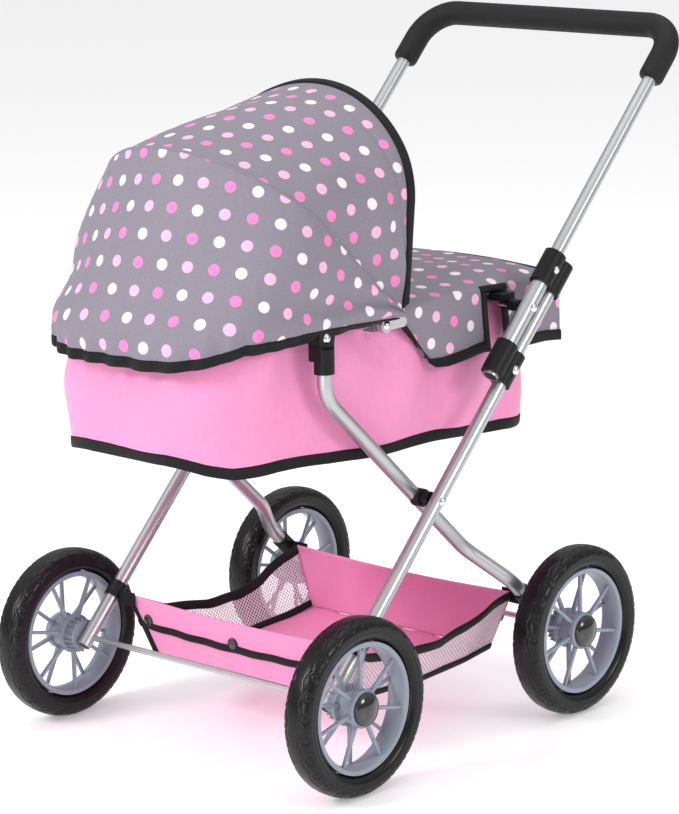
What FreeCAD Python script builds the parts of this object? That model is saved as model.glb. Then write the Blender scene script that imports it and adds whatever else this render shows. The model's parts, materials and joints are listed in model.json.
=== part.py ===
import FreeCAD, Part
import Sketcher
import math
import os
from FreeCAD import Placement, Rotation, Vector

# Doll stroller, millimetres. +Z is up, -Y is the hood end, +Y the handle end, +X the pusher's left.
# The floor is Z = 0 and the origin lies under the middle of the whole stroller.

doc = FreeCAD.newDocument("doll_stroller")
sheet = doc.addObject("Spreadsheet::Sheet", "Sizes")

# ---------------------------------------------------------------- driving dimensions

DRIVING = [
    ("fit_gap", 0.05, "radial clearance of a fixed or running fit"),
    ("soft_gap", 0.4, "clearance of fabric and of faces on different bodies"),
    # wheels and axles
    ("wheel_radius", 72, "outside of the tyre"),
    ("wheel_track", 328, "between the middles of left and right wheels"),
    ("wheel_base", 275, "between the axles"),
    ("front_axle_y", -185, "front axle from the origin"),
    ("tyre_width", 26, ""),
    ("tyre_depth", 19, "radial thickness of the tyre"),
    ("rim_width", 19, "spoked wheel, across the ring"),
    ("rim_ring", 5, "radial thickness of the spoked wheel's ring"),
    ("hub_radius", 12.5, ""),
    ("hub_out", 11, "hub outboard of the wheel's middle"),
    ("spoke_count", 7, "spokes in each of the two rows"),
    ("spoke_wide", 4.2, ""),
    ("spoke_thick", 3, "along the axle"),
    ("cap_radius", 13.5, "domed hub cap"),
    ("cap_height", 6.5, ""),
    ("axle_diameter", 5, ""),
    # frame tubes
    ("tube_diameter", 12, "chassis and leg tubes"),
    ("tube_wall", 1, ""),
    ("frame_half", 138, "middle plane of the chassis tubes and handle"),
    ("lean_angle", 44, "chassis tubes from the vertical, degrees"),
    ("chassis_length", 420, "front axle to the top of the chassis tube"),
    ("tube_tail", 9, "tube past the axle hole"),
    ("cross_place", 188, "cross pivot along the chassis tube"),
    ("pair_spacing", 14.6, "sleeve axis from the chassis tube axis"),
    ("leg_half", 115, "middle plane of the upper legs"),
    ("leg_bend_rise", 99, "upper leg bend above the cross pivot"),
    ("leg_bend_radius", 32, ""),
    ("jog_start", 81, "outward bend of the leg behind the cross pivot"),
    ("jog_end", 128, ""),
    ("jog_radius", 40, ""),
    # handle
    ("handle_diameter", 11.6, ""),
    ("sleeve_wall", 1.1, ""),
    ("sleeve_foot", 300, "lower end of the sleeve along the tubes"),
    ("sleeve_top", 422, "upper end of the sleeve"),
    ("handle_foot", 381, "lower end of the handle tube in its sleeve"),
    ("handle_reach", 664.7, "cross bar of the handle along the tubes"),
    ("handle_corner", 31, "bend radius of the handle"),
    ("grip_radius", 10.8, "foam grip"),
    ("grip_tail", 58, "foam below the cross bar"),
    ("clamp_length", 30, ""),
    ("clamp_wall", 2.6, ""),
    ("lower_clamp", 317.5, "middle of the lower clamp along the tubes"),
    ("upper_clamp", 408.5, "middle of the upper clamp"),
    ("lock_place", 370, "carrycot lock pin along the tubes"),
    ("rivet_radius", 3.9, "domed rivet heads"),
    ("rivet_shank", 1.9, ""),
    ("snap_radius", 3.2, "snap button of the handle"),
    # carrycot, its places along Y measured from the pivot on the legs
    ("rim_height", 354, "axis of the carrycot frame"),
    ("rim_diameter", 8, ""),
    ("rim_half", 100, "the frame passes inboard of the legs in the fold"),
    ("rim_ahead", 105.9, "frame ahead of the leg pivot"),
    ("rim_behind", 74.5, "frame behind the lock pins"),
    ("rim_corner", 68, ""),
    ("collar_wall", 1.5, "plastic sleeves on the carrycot frame"),
    ("collar_length", 34, ""),
    ("socket_radius", 8.2, "leg socket of the corner fitting"),
    ("socket_foot", 28, "socket below the carrycot frame axis"),
    ("fitting_disc", 9, "radius of the corner fitting's pivot disc"),
    ("pin_radius", 2.8, "carrycot lock pin"),
    ("cot_over_rim", 0.8, "outside of the fabric box beyond the frame tube"),
    ("cot_taper", 6.8, "the box narrows this much each side towards its foot"),
    ("cot_foot", 246, "underside of the fabric box"),
    ("cloth", 1.6, "thickness of the fabric shells"),
    ("hem_height", 9, ""),
    ("board_thick", 3, ""),
    ("apron_back", 103.1, "front edge of the apron"),
    ("apron_drop", 46, "side flap below the carrycot frame axis"),
    ("apron_crown", 17, "top of the apron above the frame axis"),
    # hood, its places along Y measured back from the pivot on the legs
    ("hood_pivot_back", 76.1, "hinge of the hood bows"),
    ("hood_pivot_height", 352, ""),
    ("hood_root_back", 96.1, "line on which the hood's cloth planes meet"),
    ("front_bow_half", 112, ""),
    ("front_bow_rise", 185, ""),
    ("front_bow_angle", -8, "forward from the vertical, degrees"),
    ("mid_bow_half", 114, ""),
    ("mid_bow_rise", 213, ""),
    ("mid_bow_angle", 46, ""),
    ("nose_half", 126.5, ""),
    ("nose_reach", 213, "reach of the hood's nose from its root"),
    ("nose_angle", 91, ""),
    ("bow_wire", 1.6, "radius of the hood bows"),
    ("ear_thick", 3.2, "flat ears of the bows"),
    # basket
    ("basket_half_top", 124, ""),
    ("basket_half_foot", 93, ""),
    ("basket_front_foot", 62, "height of the floor at the front"),
    ("basket_rear_foot", 52, ""),
    ("basket_front_place", 47, "front panel's top along the chassis tube"),
    ("basket_rear_place", 150, "rear panel's top along the leg from the cross pivot"),
    ("basket_sag", 32, "dip of the side mesh's upper edge"),
]
for row, (alias, value, note) in enumerate(DRIVING, start=1):
    sheet.set(f"A{row}", alias)
    sheet.set(f"B{row}", str(value))
    sheet.set(f"C{row}", note)
    sheet.setAlias(f"B{row}", alias)
doc.recompute()


class Values:
    """Reads the sheet's numbers: size.wheel_radius and so on."""

    def __getattr__(self, alias):
        return float(sheet.get(alias))


size = Values()
X_AXIS, Y_AXIS, Z_AXIS = Vector(1, 0, 0), Vector(0, 1, 0), Vector(0, 0, 1)
SIDES = (("l", 1), ("r", -1))

# ---------------------------------------------------------------- places worked out from the sheet

lean = math.radians(size.lean_angle)
ALONG = Vector(0, math.sin(lean), math.cos(lean))        # up the chassis tubes
ACROSS = Vector(0, -math.cos(lean), math.sin(lean))      # from the chassis tube towards its sleeve
FRONT_AXLE = Vector(0, size.front_axle_y, size.wheel_radius)
REAR_AXLE = Vector(0, size.front_axle_y + size.wheel_base, size.wheel_radius)
CROSS = FRONT_AXLE + ALONG * size.cross_place
LEG = (REAR_AXLE - CROSS).normalize()                    # down the leg tubes
LEG_BEND = CROSS - LEG * (size.leg_bend_rise / -LEG.z)
FITTING = Vector(0, LEG_BEND.y, size.rim_height)         # pivot of the carrycot frame on the legs
LOCK = FRONT_AXLE + ALONG * size.lock_place + ACROSS * size.pair_spacing
RIM_FRONT = FITTING.y - size.rim_ahead
RIM_REAR = LOCK.y + size.rim_behind
COT_HALF = size.rim_half + size.rim_diameter / 2 + size.cot_over_rim
COT_FOOT_HALF = COT_HALF - size.cot_taper
HOOD_HINGE = Vector(0, FITTING.y + size.hood_pivot_back, size.hood_pivot_height)
HOOD_ROOT = Vector(0, FITTING.y + size.hood_root_back, size.hood_pivot_height)
TUBE = size.tube_diameter / 2
RIM_TUBE = size.rim_diameter / 2
SLEEVE_BORE = size.handle_diameter / 2 + size.fit_gap
SLEEVE = SLEEVE_BORE + size.sleeve_wall
WHEEL_HALF = size.wheel_track / 2
HUB_IN = WHEEL_HALF - size.frame_half - TUBE - 0.6       # hub reaches in to the tube
AXLE_HOLE = size.axle_diameter / 2 + size.fit_gap
RIM_RADIUS = size.wheel_radius - size.tyre_depth


def at(x, point):
    """The point of a side view, moved to the plane X = x."""
    return Vector(x, point.y, point.z)


def on_tube(place, offset=0.0):
    """A point beside the chassis tube: place along it, offset towards the sleeve."""
    return FRONT_AXLE + ALONG * place + ACROSS * offset


def turned(direction):
    """The rotation that takes Z to a direction."""
    return Rotation(Z_AXIS, direction)


# ---------------------------------------------------------------- building blocks

nodes = []


def keep(obj, label):
    """Marks an object as a sub-part: its label names its file."""
    obj.Label = label
    nodes.append(obj)
    return obj


def cylinder(name, radius, height, place, direction):
    """A Part cylinder whose size is an expression; place and direction are vectors."""
    obj = doc.addObject("Part::Cylinder", name)
    obj.setExpression("Radius", radius)
    obj.setExpression("Height", height)
    obj.Placement = Placement(place, turned(direction))
    return obj


def cut(name, base, *tools):
    obj = doc.addObject("Part::Cut", name)
    obj.Base = base
    obj.Tool = tools[0] if len(tools) == 1 else union(name + "_tools", *tools)
    return obj


def union(name, *shapes):
    obj = doc.addObject("Part::MultiFuse", name)
    obj.Shapes = list(shapes)
    return obj


def feature(name, shape):
    obj = doc.addObject("Part::Feature", name)
    obj.Shape = shape
    return obj


def group(name, shapes):
    """Separate like solids in one node."""
    return keep(feature(name, Part.makeCompound(shapes)), name)


def compound(name, objects):
    """The same for parametric objects."""
    obj = doc.addObject("Part::Compound", name)
    obj.Links = objects
    return keep(obj, name)


def rounded_path(points, radii):
    """Straight runs joined by tangent arcs; radii has one value for each inner point."""
    edges, start = [], points[0]
    for corner, after, radius in zip(points[1:-1], points[2:], radii):
        to_corner = (corner - start).normalize()
        from_corner = (after - corner).normalize()
        half_turn = to_corner.getAngle(from_corner) / 2
        reach = radius * math.tan(half_turn)
        first, last = corner - to_corner * reach, corner + from_corner * reach
        inward = (from_corner - to_corner).normalize()
        middle = corner + inward * (radius / math.cos(half_turn) - radius)
        edges += [Part.makeLine(start, first), Part.Arc(first, middle, last).toShape()]
        start = last
    edges.append(Part.makeLine(start, points[-1]))
    return Part.Wire(edges)


def rod_along(path, radius):
    """A solid round bar that follows a path."""
    start = path.OrderedVertexes[0].Point
    edge = path.OrderedEdges[0]
    ring = Part.Wire(Part.makeCircle(radius, start, edge.tangentAt(edge.Curve.parameter(start))))
    return path.makePipeShell([ring], True, False)


def tube_along(path, radius, wall):
    return rod_along(path, radius).cut(rod_along(path, radius - wall))


def drill(shape, radius, centre, direction, length):
    """Cuts a round hole of a length centred on a point."""
    start = centre - direction * (length / 2)
    return shape.cut(Part.makeCylinder(radius, length, start, direction))


def dome(radius, height, base, direction):
    """A low dome: the cap of a sphere on a flat face."""
    ball = (radius**2 + height**2) / (2 * height)
    profile = Part.Wire([Part.makeLine(Vector(0, 0, 0), Vector(radius, 0, 0)),
                         Part.Arc(Vector(radius, 0, 0),
                                  Vector(math.sqrt(ball**2 - (ball - height / 2)**2), 0,
                                                               height / 2), Vector(0, 0, height)).toShape(),
                         Part.makeLine(Vector(0, 0, height), Vector(0, 0, 0))])
    cap = Part.Face(profile).revolve(Vector(0, 0, 0), Z_AXIS, 360)
    cap.Placement = Placement(base, turned(direction))
    return cap


def rivet(head_radius, shank, start, end):
    """A rivet from its inner end to the face under its domed head."""
    direction = (end - start).normalize()
    pin = Part.makeCylinder(shank, (end - start).Length, start, direction)
    return pin.fuse(dome(head_radius, head_radius * 0.55, end, direction))


def rounded_outline(half, front, rear, corner, height):
    """A rounded rectangle of eight edges in a level plane."""
    points = []
    for cx, cy, first in ((half - corner, rear - corner, 0), (-half + corner, rear - corner, 90),
                          (-half + corner, front + corner, 180), (half - corner, front + corner, 270)):
        for step in (0, 45, 90):
            angle = math.radians(first + step)
            points.append(Vector(cx + corner * math.cos(angle), cy + corner * math.sin(angle), height))
    edges = []
    for k in range(4):
        a, b, c = points[3 * k:3 * k + 3]
        edges += [Part.Arc(a, b, c).toShape(), Part.makeLine(c, points[(3 * k + 3) % 12])]
    return Part.Wire(edges)


# ---------------------------------------------------------------- wheels

def polygon_sketch(body, name, corners):
    """A closed sketch in the body's XZ plane, each corner held by two expressions."""
    sketch = body.newObject("Sketcher::SketchObject", name)
    plane = next(f for f in body.Origin.OriginFeatures if f.Role == "XZ_Plane")
    sketch.AttachmentSupport = [(plane, "")]
    sketch.MapMode = "FlatFace"
    count = len(corners)
    spots = [Vector(sheet.evalExpression(u), sheet.evalExpression(v), 0) for u, v in corners]
    for k in range(count):
        sketch.addGeometry(Part.LineSegment(spots[k], spots[(k + 1) % count]), False)
    for k in range(count):
        sketch.addConstraint(Sketcher.Constraint("Coincident", k, 2, (k + 1) % count, 1))
    for k, (u, v) in enumerate(corners):
        for kind, spot, text in (("DistanceX", spots[k].x, u), ("DistanceY", spots[k].y, v)):
            index = sketch.addConstraint(Sketcher.Constraint(kind, -1, 1, k, 1, spot))
            sketch.setExpression(f"Constraints[{index}]", text)
    return sketch


def revolved(body, name, corners):
    """A ring turned about the body's Z axis from a sketched half section."""
    sketch = polygon_sketch(body, name + "_section", corners)
    ring = body.newObject("PartDesign::Revolution", name)
    ring.Profile = sketch
    ring.ReferenceAxis = (sketch, ["V_Axis"])
    ring.Angle = 360
    return ring


def wheel_place(side, axle):
    """Local Z of a wheel points outboard along the axle."""
    return Placement(at(side * WHEEL_HALF, axle), Rotation(Y_AXIS, 90 * side))


def tyre(name, side, axle):
    body = doc.addObject("PartDesign::Body", name)
    half, inner = "Sizes.tyre_width / 2", "Sizes.wheel_radius - Sizes.tyre_depth + Sizes.fit_gap"
    revolved(body, name + "_ring", [
        (inner, f"-{half} * 0.72"), ("Sizes.wheel_radius - Sizes.tyre_depth * 0.45", f"-{half}"),
        ("Sizes.wheel_radius - Sizes.tyre_depth * 0.12", f"-{half} * 0.78"),
        ("Sizes.wheel_radius", f"-{half} * 0.35"), ("Sizes.wheel_radius", f"{half} * 0.35"),
        ("Sizes.wheel_radius - Sizes.tyre_depth * 0.12", f"{half} * 0.78"),
        ("Sizes.wheel_radius - Sizes.tyre_depth * 0.45", half), (inner, f"{half} * 0.72")])
    body.Placement = wheel_place(side, axle)
    keep(body, name)


def spoked_wheel(name, side, axle):
    ring = feature(name + "_ring", Part.makeCylinder(RIM_RADIUS, size.rim_width,
                                                     Vector(0, 0, -size.rim_width / 2)).cut(
        Part.makeCylinder(RIM_RADIUS - size.rim_ring, size.rim_width, Vector(0, 0, -size.rim_width / 2))))
    hub = cylinder(name + "_hub", "Sizes.hub_radius", f"{HUB_IN} + Sizes.hub_out",
                   Vector(0, 0, -HUB_IN), Z_AXIS)
    spokes = []
    reach = RIM_RADIUS - size.rim_ring / 2
    for row, level in enumerate((size.rim_width * 0.28, -size.rim_width * 0.34)):
        for k in range(int(size.spoke_count)):
            bar = doc.addObject("Part::Box", f"{name}_spoke_{row}_{k}")
            bar.Length = reach
            bar.setExpression("Width", "Sizes.spoke_wide")
            bar.setExpression("Height", "Sizes.spoke_thick")
            spin = Rotation(Z_AXIS, (k + row / 2) * 360 / size.spoke_count)
            corner = Vector(0, -size.spoke_wide / 2, level - size.spoke_thick / 2)
            bar.Placement = Placement(spin.multVec(corner), spin)
            spokes.append(bar)
    bore = cylinder(name + "_bore", "Sizes.axle_diameter / 2 + Sizes.fit_gap", "Sizes.wheel_radius",
                    Vector(0, 0, -size.wheel_radius / 2), Z_AXIS)
    wheel = cut(name, union(name + "_solid", ring, hub, *spokes), bore)
    wheel.Placement = wheel_place(side, axle)
    keep(wheel, name)


def hub_cap(name, side, axle):
    """A domed cap clipped over the hub's outer end, hollow over the push nut."""
    outer = dome(size.cap_radius, size.cap_height, Vector(0, 0, size.hub_out), Z_AXIS)
    inner = Part.makeCylinder(size.cap_radius * 0.55, size.cap_height * 0.55, Vector(0, 0, size.hub_out))
    cap = feature(name, outer.cut(inner))
    cap.Placement = wheel_place(side, axle)
    keep(cap, name)


WHEELS = [(end + side_name, side, axle) for end, axle in (("front_", FRONT_AXLE), ("rear_", REAR_AXLE))
          for side_name, side in (("left", 1), ("right", -1))]
for wheel_name, wheel_side, wheel_axle in WHEELS:
    tyre(f"tyre_{wheel_name}", wheel_side, wheel_axle)
    spoked_wheel(f"wheel_{wheel_name}", wheel_side, wheel_axle)
    hub_cap(f"hub_cap_{wheel_name}", wheel_side, wheel_axle)

# Each axle is a plain rod, held by a push nut on each end, inside the hub cap.
NUT_THICK = size.cap_height * 0.2
for end, axle in (("front", FRONT_AXLE), ("rear", REAR_AXLE)):
    reach = WHEEL_HALF + size.hub_out + NUT_THICK + 1
    rod = doc.addObject("Part::Cylinder", f"{end}_axle")
    rod.setExpression("Radius", "Sizes.axle_diameter / 2")
    rod.Height = 2 * reach
    rod.Placement = Placement(at(-reach, axle), turned(X_AXIS))
    keep(rod, f"{end}_axle")
    nuts = []
    for _, side in SIDES:
        face = at(side * (WHEEL_HALF + size.hub_out + 0.3), axle)
        nut = Part.makeCylinder(size.axle_diameter, NUT_THICK, face, X_AXIS * side)
        nuts.append(drill(nut, AXLE_HOLE, face, X_AXIS, 4 * size.axle_diameter))
    group(f"{end}_push_nuts", nuts)

# ---------------------------------------------------------------- chassis tubes and clamps

SLEEVE_AXIS = size.pair_spacing
clamps = {"lower": [], "upper": []}
for s, side in SIDES:
    plane = side * size.frame_half
    foot = at(plane, on_tube(-size.tube_tail))
    outer = cylinder(f"chassis_outer_{s}", "Sizes.tube_diameter / 2",
                     "Sizes.chassis_length + Sizes.tube_tail",
                     foot, ALONG)
    bore = cylinder(f"chassis_bore_{s}", "Sizes.tube_diameter / 2 - Sizes.tube_wall",
                    "Sizes.chassis_length + Sizes.tube_tail", foot, ALONG)
    holes = [cylinder(f"chassis_hole_{s}_{k}", radius, "2 * Sizes.tube_diameter",
                      at(plane - size.tube_diameter, on_tube(place)), X_AXIS)
             for k, (radius, place) in enumerate((
                 ("Sizes.axle_diameter / 2 + Sizes.fit_gap", 0),
                 ("Sizes.rivet_shank + Sizes.fit_gap", size.cross_place),
                 ("Sizes.rivet_shank + Sizes.fit_gap", size.lower_clamp)))]
    keep(cut(f"chassis_tube_{s}", outer, bore, *holes), f"chassis_tube_{s}")

    sleeve_foot = at(plane, on_tube(size.sleeve_foot, SLEEVE_AXIS))
    length = "Sizes.sleeve_top - Sizes.sleeve_foot"
    outer = cylinder(f"sleeve_outer_{s}", f"{SLEEVE}", length, sleeve_foot, ALONG)
    bore = cylinder(f"sleeve_bore_{s}", f"{SLEEVE_BORE}", length, sleeve_foot, ALONG)
    pin_hole = cylinder(f"sleeve_pin_hole_{s}", "Sizes.rivet_shank + Sizes.fit_gap",
                        "2 * Sizes.tube_diameter",
                        at(plane - size.tube_diameter, LOCK), X_AXIS)
    snap_hole = cylinder(f"sleeve_snap_hole_{s}", "Sizes.snap_radius + 2 * Sizes.fit_gap",
                         "Sizes.tube_diameter",
                         at(plane, on_tube(size.upper_clamp, SLEEVE_AXIS)), X_AXIS * side)
    keep(cut(f"handle_sleeve_{s}", outer, bore, pin_hole, snap_hole), f"handle_sleeve_{s}")

    for where, middle in (("lower", size.lower_clamp), ("upper", size.upper_clamp)):
        name = f"{where}_clamp_{s}"
        low = middle - size.clamp_length / 2
        around_tube = cylinder(name + "_tube_side", "Sizes.tube_diameter / 2 + Sizes.clamp_wall",
                               "Sizes.clamp_length", at(plane, on_tube(low)), ALONG)
        around_sleeve = cylinder(name + "_sleeve_side", f"{SLEEVE} + Sizes.clamp_wall",
                                 "Sizes.clamp_length",
                                 at(plane, on_tube(low, SLEEVE_AXIS)), ALONG)
        web = doc.addObject("Part::Box", name + "_web")
        web.setExpression("Length", "Sizes.tube_diameter")
        web.setExpression("Width", "Sizes.pair_spacing")
        web.setExpression("Height", "Sizes.clamp_length")
        web.Placement = Placement(at(plane, on_tube(low, SLEEVE_AXIS)),
                                  Rotation(X_AXIS, -size.lean_angle)).multiply(
            Placement(Vector(-TUBE, 0, 0), Rotation()))
        tube_hole = cylinder(name + "_tube_hole", "Sizes.tube_diameter / 2 + Sizes.fit_gap",
                             "2 * Sizes.clamp_length", at(plane, on_tube(low - size.clamp_length)), ALONG)
        if where == "lower":
            tube_hole.setExpression("Height", "3 * Sizes.clamp_length")
        else:
            tube_hole.setExpression("Height",
                                    "Sizes.chassis_length + Sizes.fit_gap + 1.5 * Sizes.clamp_length"
                                    " - Sizes.upper_clamp")
        sleeve_hole = cylinder(name + "_sleeve_hole", f"{SLEEVE} + Sizes.fit_gap", "3 * Sizes.clamp_length",
                               at(plane, on_tube(low - size.clamp_length, SLEEVE_AXIS)), ALONG)
        rivet_axis = 0 if where == "lower" else SLEEVE_AXIS
        radius = "Sizes.rivet_shank" if where == "lower" else "Sizes.snap_radius + Sizes.fit_gap"
        rivet_hole = cylinder(name + "_rivet_hole", f"{radius} + Sizes.fit_gap", "2 * Sizes.tube_diameter",
                              at(plane, on_tube(middle, rivet_axis)), X_AXIS * side)
        solid = union(name + "_solid", around_tube, around_sleeve, web)
        clamps[where].append(cut(name, solid, tube_hole, sleeve_hole, rivet_hole))
for where, pair in clamps.items():
    compound(f"{where}_clamps", pair)

CLAMP_FACE = TUBE + size.clamp_wall
PIN_TIP = size.rim_half + RIM_TUBE + 5.5                 # the lock pin stops short of the carrycot's cloth
clamp_rivets, lock_pins, pin_spacers, cross_rivets, cross_spacers = [], [], [], [], []
for _, side in SIDES:
    plane = side * size.frame_half
    out = X_AXIS * side
    seat = at(plane, on_tube(size.lower_clamp))
    clamp_rivets.append(rivet(size.rivet_radius, size.rivet_shank, seat,
                              seat + out * (CLAMP_FACE + size.fit_gap)))
    tip = at(side * PIN_TIP, LOCK)
    head_seat = at(plane - side * (SLEEVE + 0.1), LOCK)
    head = at(plane + side * (SLEEVE + size.fit_gap), LOCK)
    pin = rivet(size.rivet_radius, size.rivet_shank, head_seat - out, head)
    lock_pins.append(pin.fuse(Part.makeCylinder(size.pin_radius, (head_seat - tip).Length, tip,
                                                out)).removeSplitter())
    foot = at(side * (size.leg_half + TUBE - 1.2), LOCK)
    spacer = Part.makeCylinder(size.pin_radius + 2.2, (head_seat - foot).Length, foot, out)
    pin_spacers.append(drill(spacer, size.pin_radius + size.fit_gap, foot, X_AXIS, 4 * size.tube_diameter))

    # The cross pivot's spacer saddles the leg and ends flat against the chassis tube.
    leg_side = at(side * size.leg_half, CROSS)
    saddle = Part.makeCylinder(TUBE + 1.5, TUBE + 3, leg_side, out)
    neck = Part.makeCylinder(TUBE + 0.2, size.frame_half - size.leg_half - TUBE - size.soft_gap,
                             leg_side, out)
    spacer = saddle.fuse(neck).cut(Part.makeCylinder(TUBE + size.fit_gap, 60, leg_side - LEG * 30, LEG))
    cross_spacers.append(drill(spacer, size.rivet_shank + size.fit_gap, leg_side, X_AXIS, 90))
    cross_rivets.append(rivet(size.rivet_radius, size.rivet_shank, at(side * (size.leg_half - TUBE), CROSS),
                              at(plane + side * (TUBE + size.fit_gap), CROSS)))
group("clamp_rivets", clamp_rivets)
group("carrycot_lock_pins", lock_pins)
group("lock_pin_spacers", pin_spacers)
group("cross_spacers", cross_spacers)
group("cross_rivets", cross_rivets)

# ---------------------------------------------------------------- legs and their fittings

FITTING_IN = size.rim_half + RIM_TUBE + size.collar_wall + 0.7
FITTING_OUT = size.leg_half + 3.5
for s, side in SIDES:
    top = at(side * size.leg_half, FITTING) - Z_AXIS * 11
    points = [top, at(side * size.leg_half, LEG_BEND),
              at(side * size.leg_half, CROSS + LEG * size.jog_start),
              at(side * size.frame_half, CROSS + LEG * size.jog_end),
              at(side * size.frame_half, REAR_AXLE + LEG * size.tube_tail)]
    path = rounded_path(points, (size.leg_bend_radius, size.jog_radius, size.jog_radius))
    leg = tube_along(path, TUBE, size.tube_wall)
    leg = drill(leg, AXLE_HOLE, at(side * size.frame_half, REAR_AXLE), X_AXIS, 2 * size.tube_diameter)
    leg = drill(leg, size.rivet_shank + size.fit_gap, at(side * size.leg_half, CROSS), X_AXIS,
                2 * size.tube_diameter)
    keep(feature(f"leg_tube_{s}", leg), f"leg_tube_{s}")

    # The corner fitting: a socket on the leg's end under a disc that turns beside the carrycot frame.
    pivot = at(side * FITTING_IN, FITTING)
    out = X_AXIS * side
    disc = Part.makeCylinder(size.fitting_disc, FITTING_OUT - FITTING_IN, pivot, out)
    neck = Part.makeBox(FITTING_OUT - FITTING_IN, 2 * size.socket_radius, 18,
                        Vector(min(side * FITTING_IN, side * FITTING_OUT), FITTING.y - size.socket_radius,
                               FITTING.z - 18))
    axis = at(side * size.leg_half, FITTING)
    socket = Part.makeCylinder(size.socket_radius, size.socket_foot - 8, axis - Z_AXIS * size.socket_foot)
    shape = disc.fuse(neck).fuse(socket)
    shape = shape.cut(Part.makeCylinder(TUBE + size.fit_gap, size.socket_foot - 11 + size.fit_gap,
                                        axis - Z_AXIS * size.socket_foot))
    shape = drill(shape, size.rivet_shank + size.fit_gap, pivot, X_AXIS, 4 * size.leg_half - 4 * FITTING_IN)
    keep(feature(f"corner_fitting_{s}", shape), f"corner_fitting_{s}")

# ---------------------------------------------------------------- handle

handle_points = [at(size.frame_half, on_tube(size.handle_foot, SLEEVE_AXIS)),
                 at(size.frame_half, on_tube(size.handle_reach, SLEEVE_AXIS)),
                 at(-size.frame_half, on_tube(size.handle_reach, SLEEVE_AXIS)),
                 at(-size.frame_half, on_tube(size.handle_foot, SLEEVE_AXIS))]
corner_radii = (size.handle_corner, size.handle_corner)
handle = tube_along(rounded_path(handle_points, corner_radii), size.handle_diameter / 2, size.tube_wall)
for _, side in SIDES:
    seat = at(side * (size.frame_half + TUBE), on_tube(size.upper_clamp, SLEEVE_AXIS))
    handle = drill(handle, size.snap_radius + size.fit_gap, seat, X_AXIS, size.tube_diameter)
keep(feature("handle_tube", handle), "handle_tube")

grip_points = [at(side * size.frame_half, on_tube(size.handle_reach - tail, SLEEVE_AXIS))
               for side, tail in ((1, size.grip_tail), (1, 0), (-1, 0), (-1, size.grip_tail))]
grip_path = rounded_path(grip_points, corner_radii)
grip = rod_along(grip_path, size.grip_radius).cut(rod_along(grip_path,
                                                            size.handle_diameter / 2 + size.fit_gap))
keep(feature("handle_grip", grip), "handle_grip")

# Snap button and its leaf spring in each leg of the handle.
springs = []
for s, side in SIDES:
    out = X_AXIS * side
    axis = at(side * size.frame_half, on_tube(size.upper_clamp, SLEEVE_AXIS))
    top = SLEEVE + size.clamp_wall
    button = Part.makeCylinder(size.snap_radius, top - 1, axis + out, out)
    button = button.fuse(dome(size.snap_radius, 1.6, axis + out * top, out)).removeSplitter()
    keep(feature(f"snap_button_{s}", button), f"snap_button_{s}")
    inner = size.handle_diameter / 2 - size.tube_wall
    tilt = Rotation(X_AXIS, -size.lean_angle)
    leaf = Part.makeBox(0.6, 5, 26, Vector(-0.3, -2.5, -13))
    back = Part.makeBox(0.6, 5, 26, Vector(-0.3, -2.5, -13))
    leaf.Placement = Placement(axis + out * 0.6, tilt)
    back.Placement = Placement(axis - out * (inner - 1.3), tilt)
    bend = Part.makeBox(inner - 0.3, 5, 0.6, Vector(-(inner - 0.3) / 2, -2.5, -0.3))
    bend.Placement = Placement(axis - out * (inner - 1.5) / 2 - ALONG * 12.7, tilt)
    springs.append(leaf.fuse(back).fuse(bend).removeSplitter())
group("snap_springs", springs)

# ---------------------------------------------------------------- carrycot frame and fabric box

rim_outline = rounded_outline(size.rim_half, RIM_FRONT, RIM_REAR, size.rim_corner, size.rim_height)
rim_ring = rod_along(rim_outline, RIM_TUBE)
rim_ring = drill(rim_ring, size.rivet_shank + size.fit_gap, FITTING, X_AXIS, 3 * size.rim_half)
keep(feature("carrycot_frame", rim_ring), "carrycot_frame")


def rim_collar(side, y, length):
    """A plastic sleeve on the carrycot frame, still solid."""
    start = Vector(side * size.rim_half, y - length / 2, size.rim_height)
    return Part.makeCylinder(RIM_TUBE + size.collar_wall, length, start, Y_AXIS)


def bored(shape, side):
    """The same with the frame's bore cut through it."""
    return drill(shape, RIM_TUBE + size.fit_gap, Vector(side * size.rim_half, 0, size.rim_height),
                 Y_AXIS, 900)


def box_between(side, x, y, z):
    """A box from three pairs of limits, the X pair measured outwards on one side."""
    low = min(side * x[0], side * x[1])
    return Part.makeBox(x[1] - x[0], y[1] - y[0], z[1] - z[0], Vector(low, y[0], z[0]))


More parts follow.
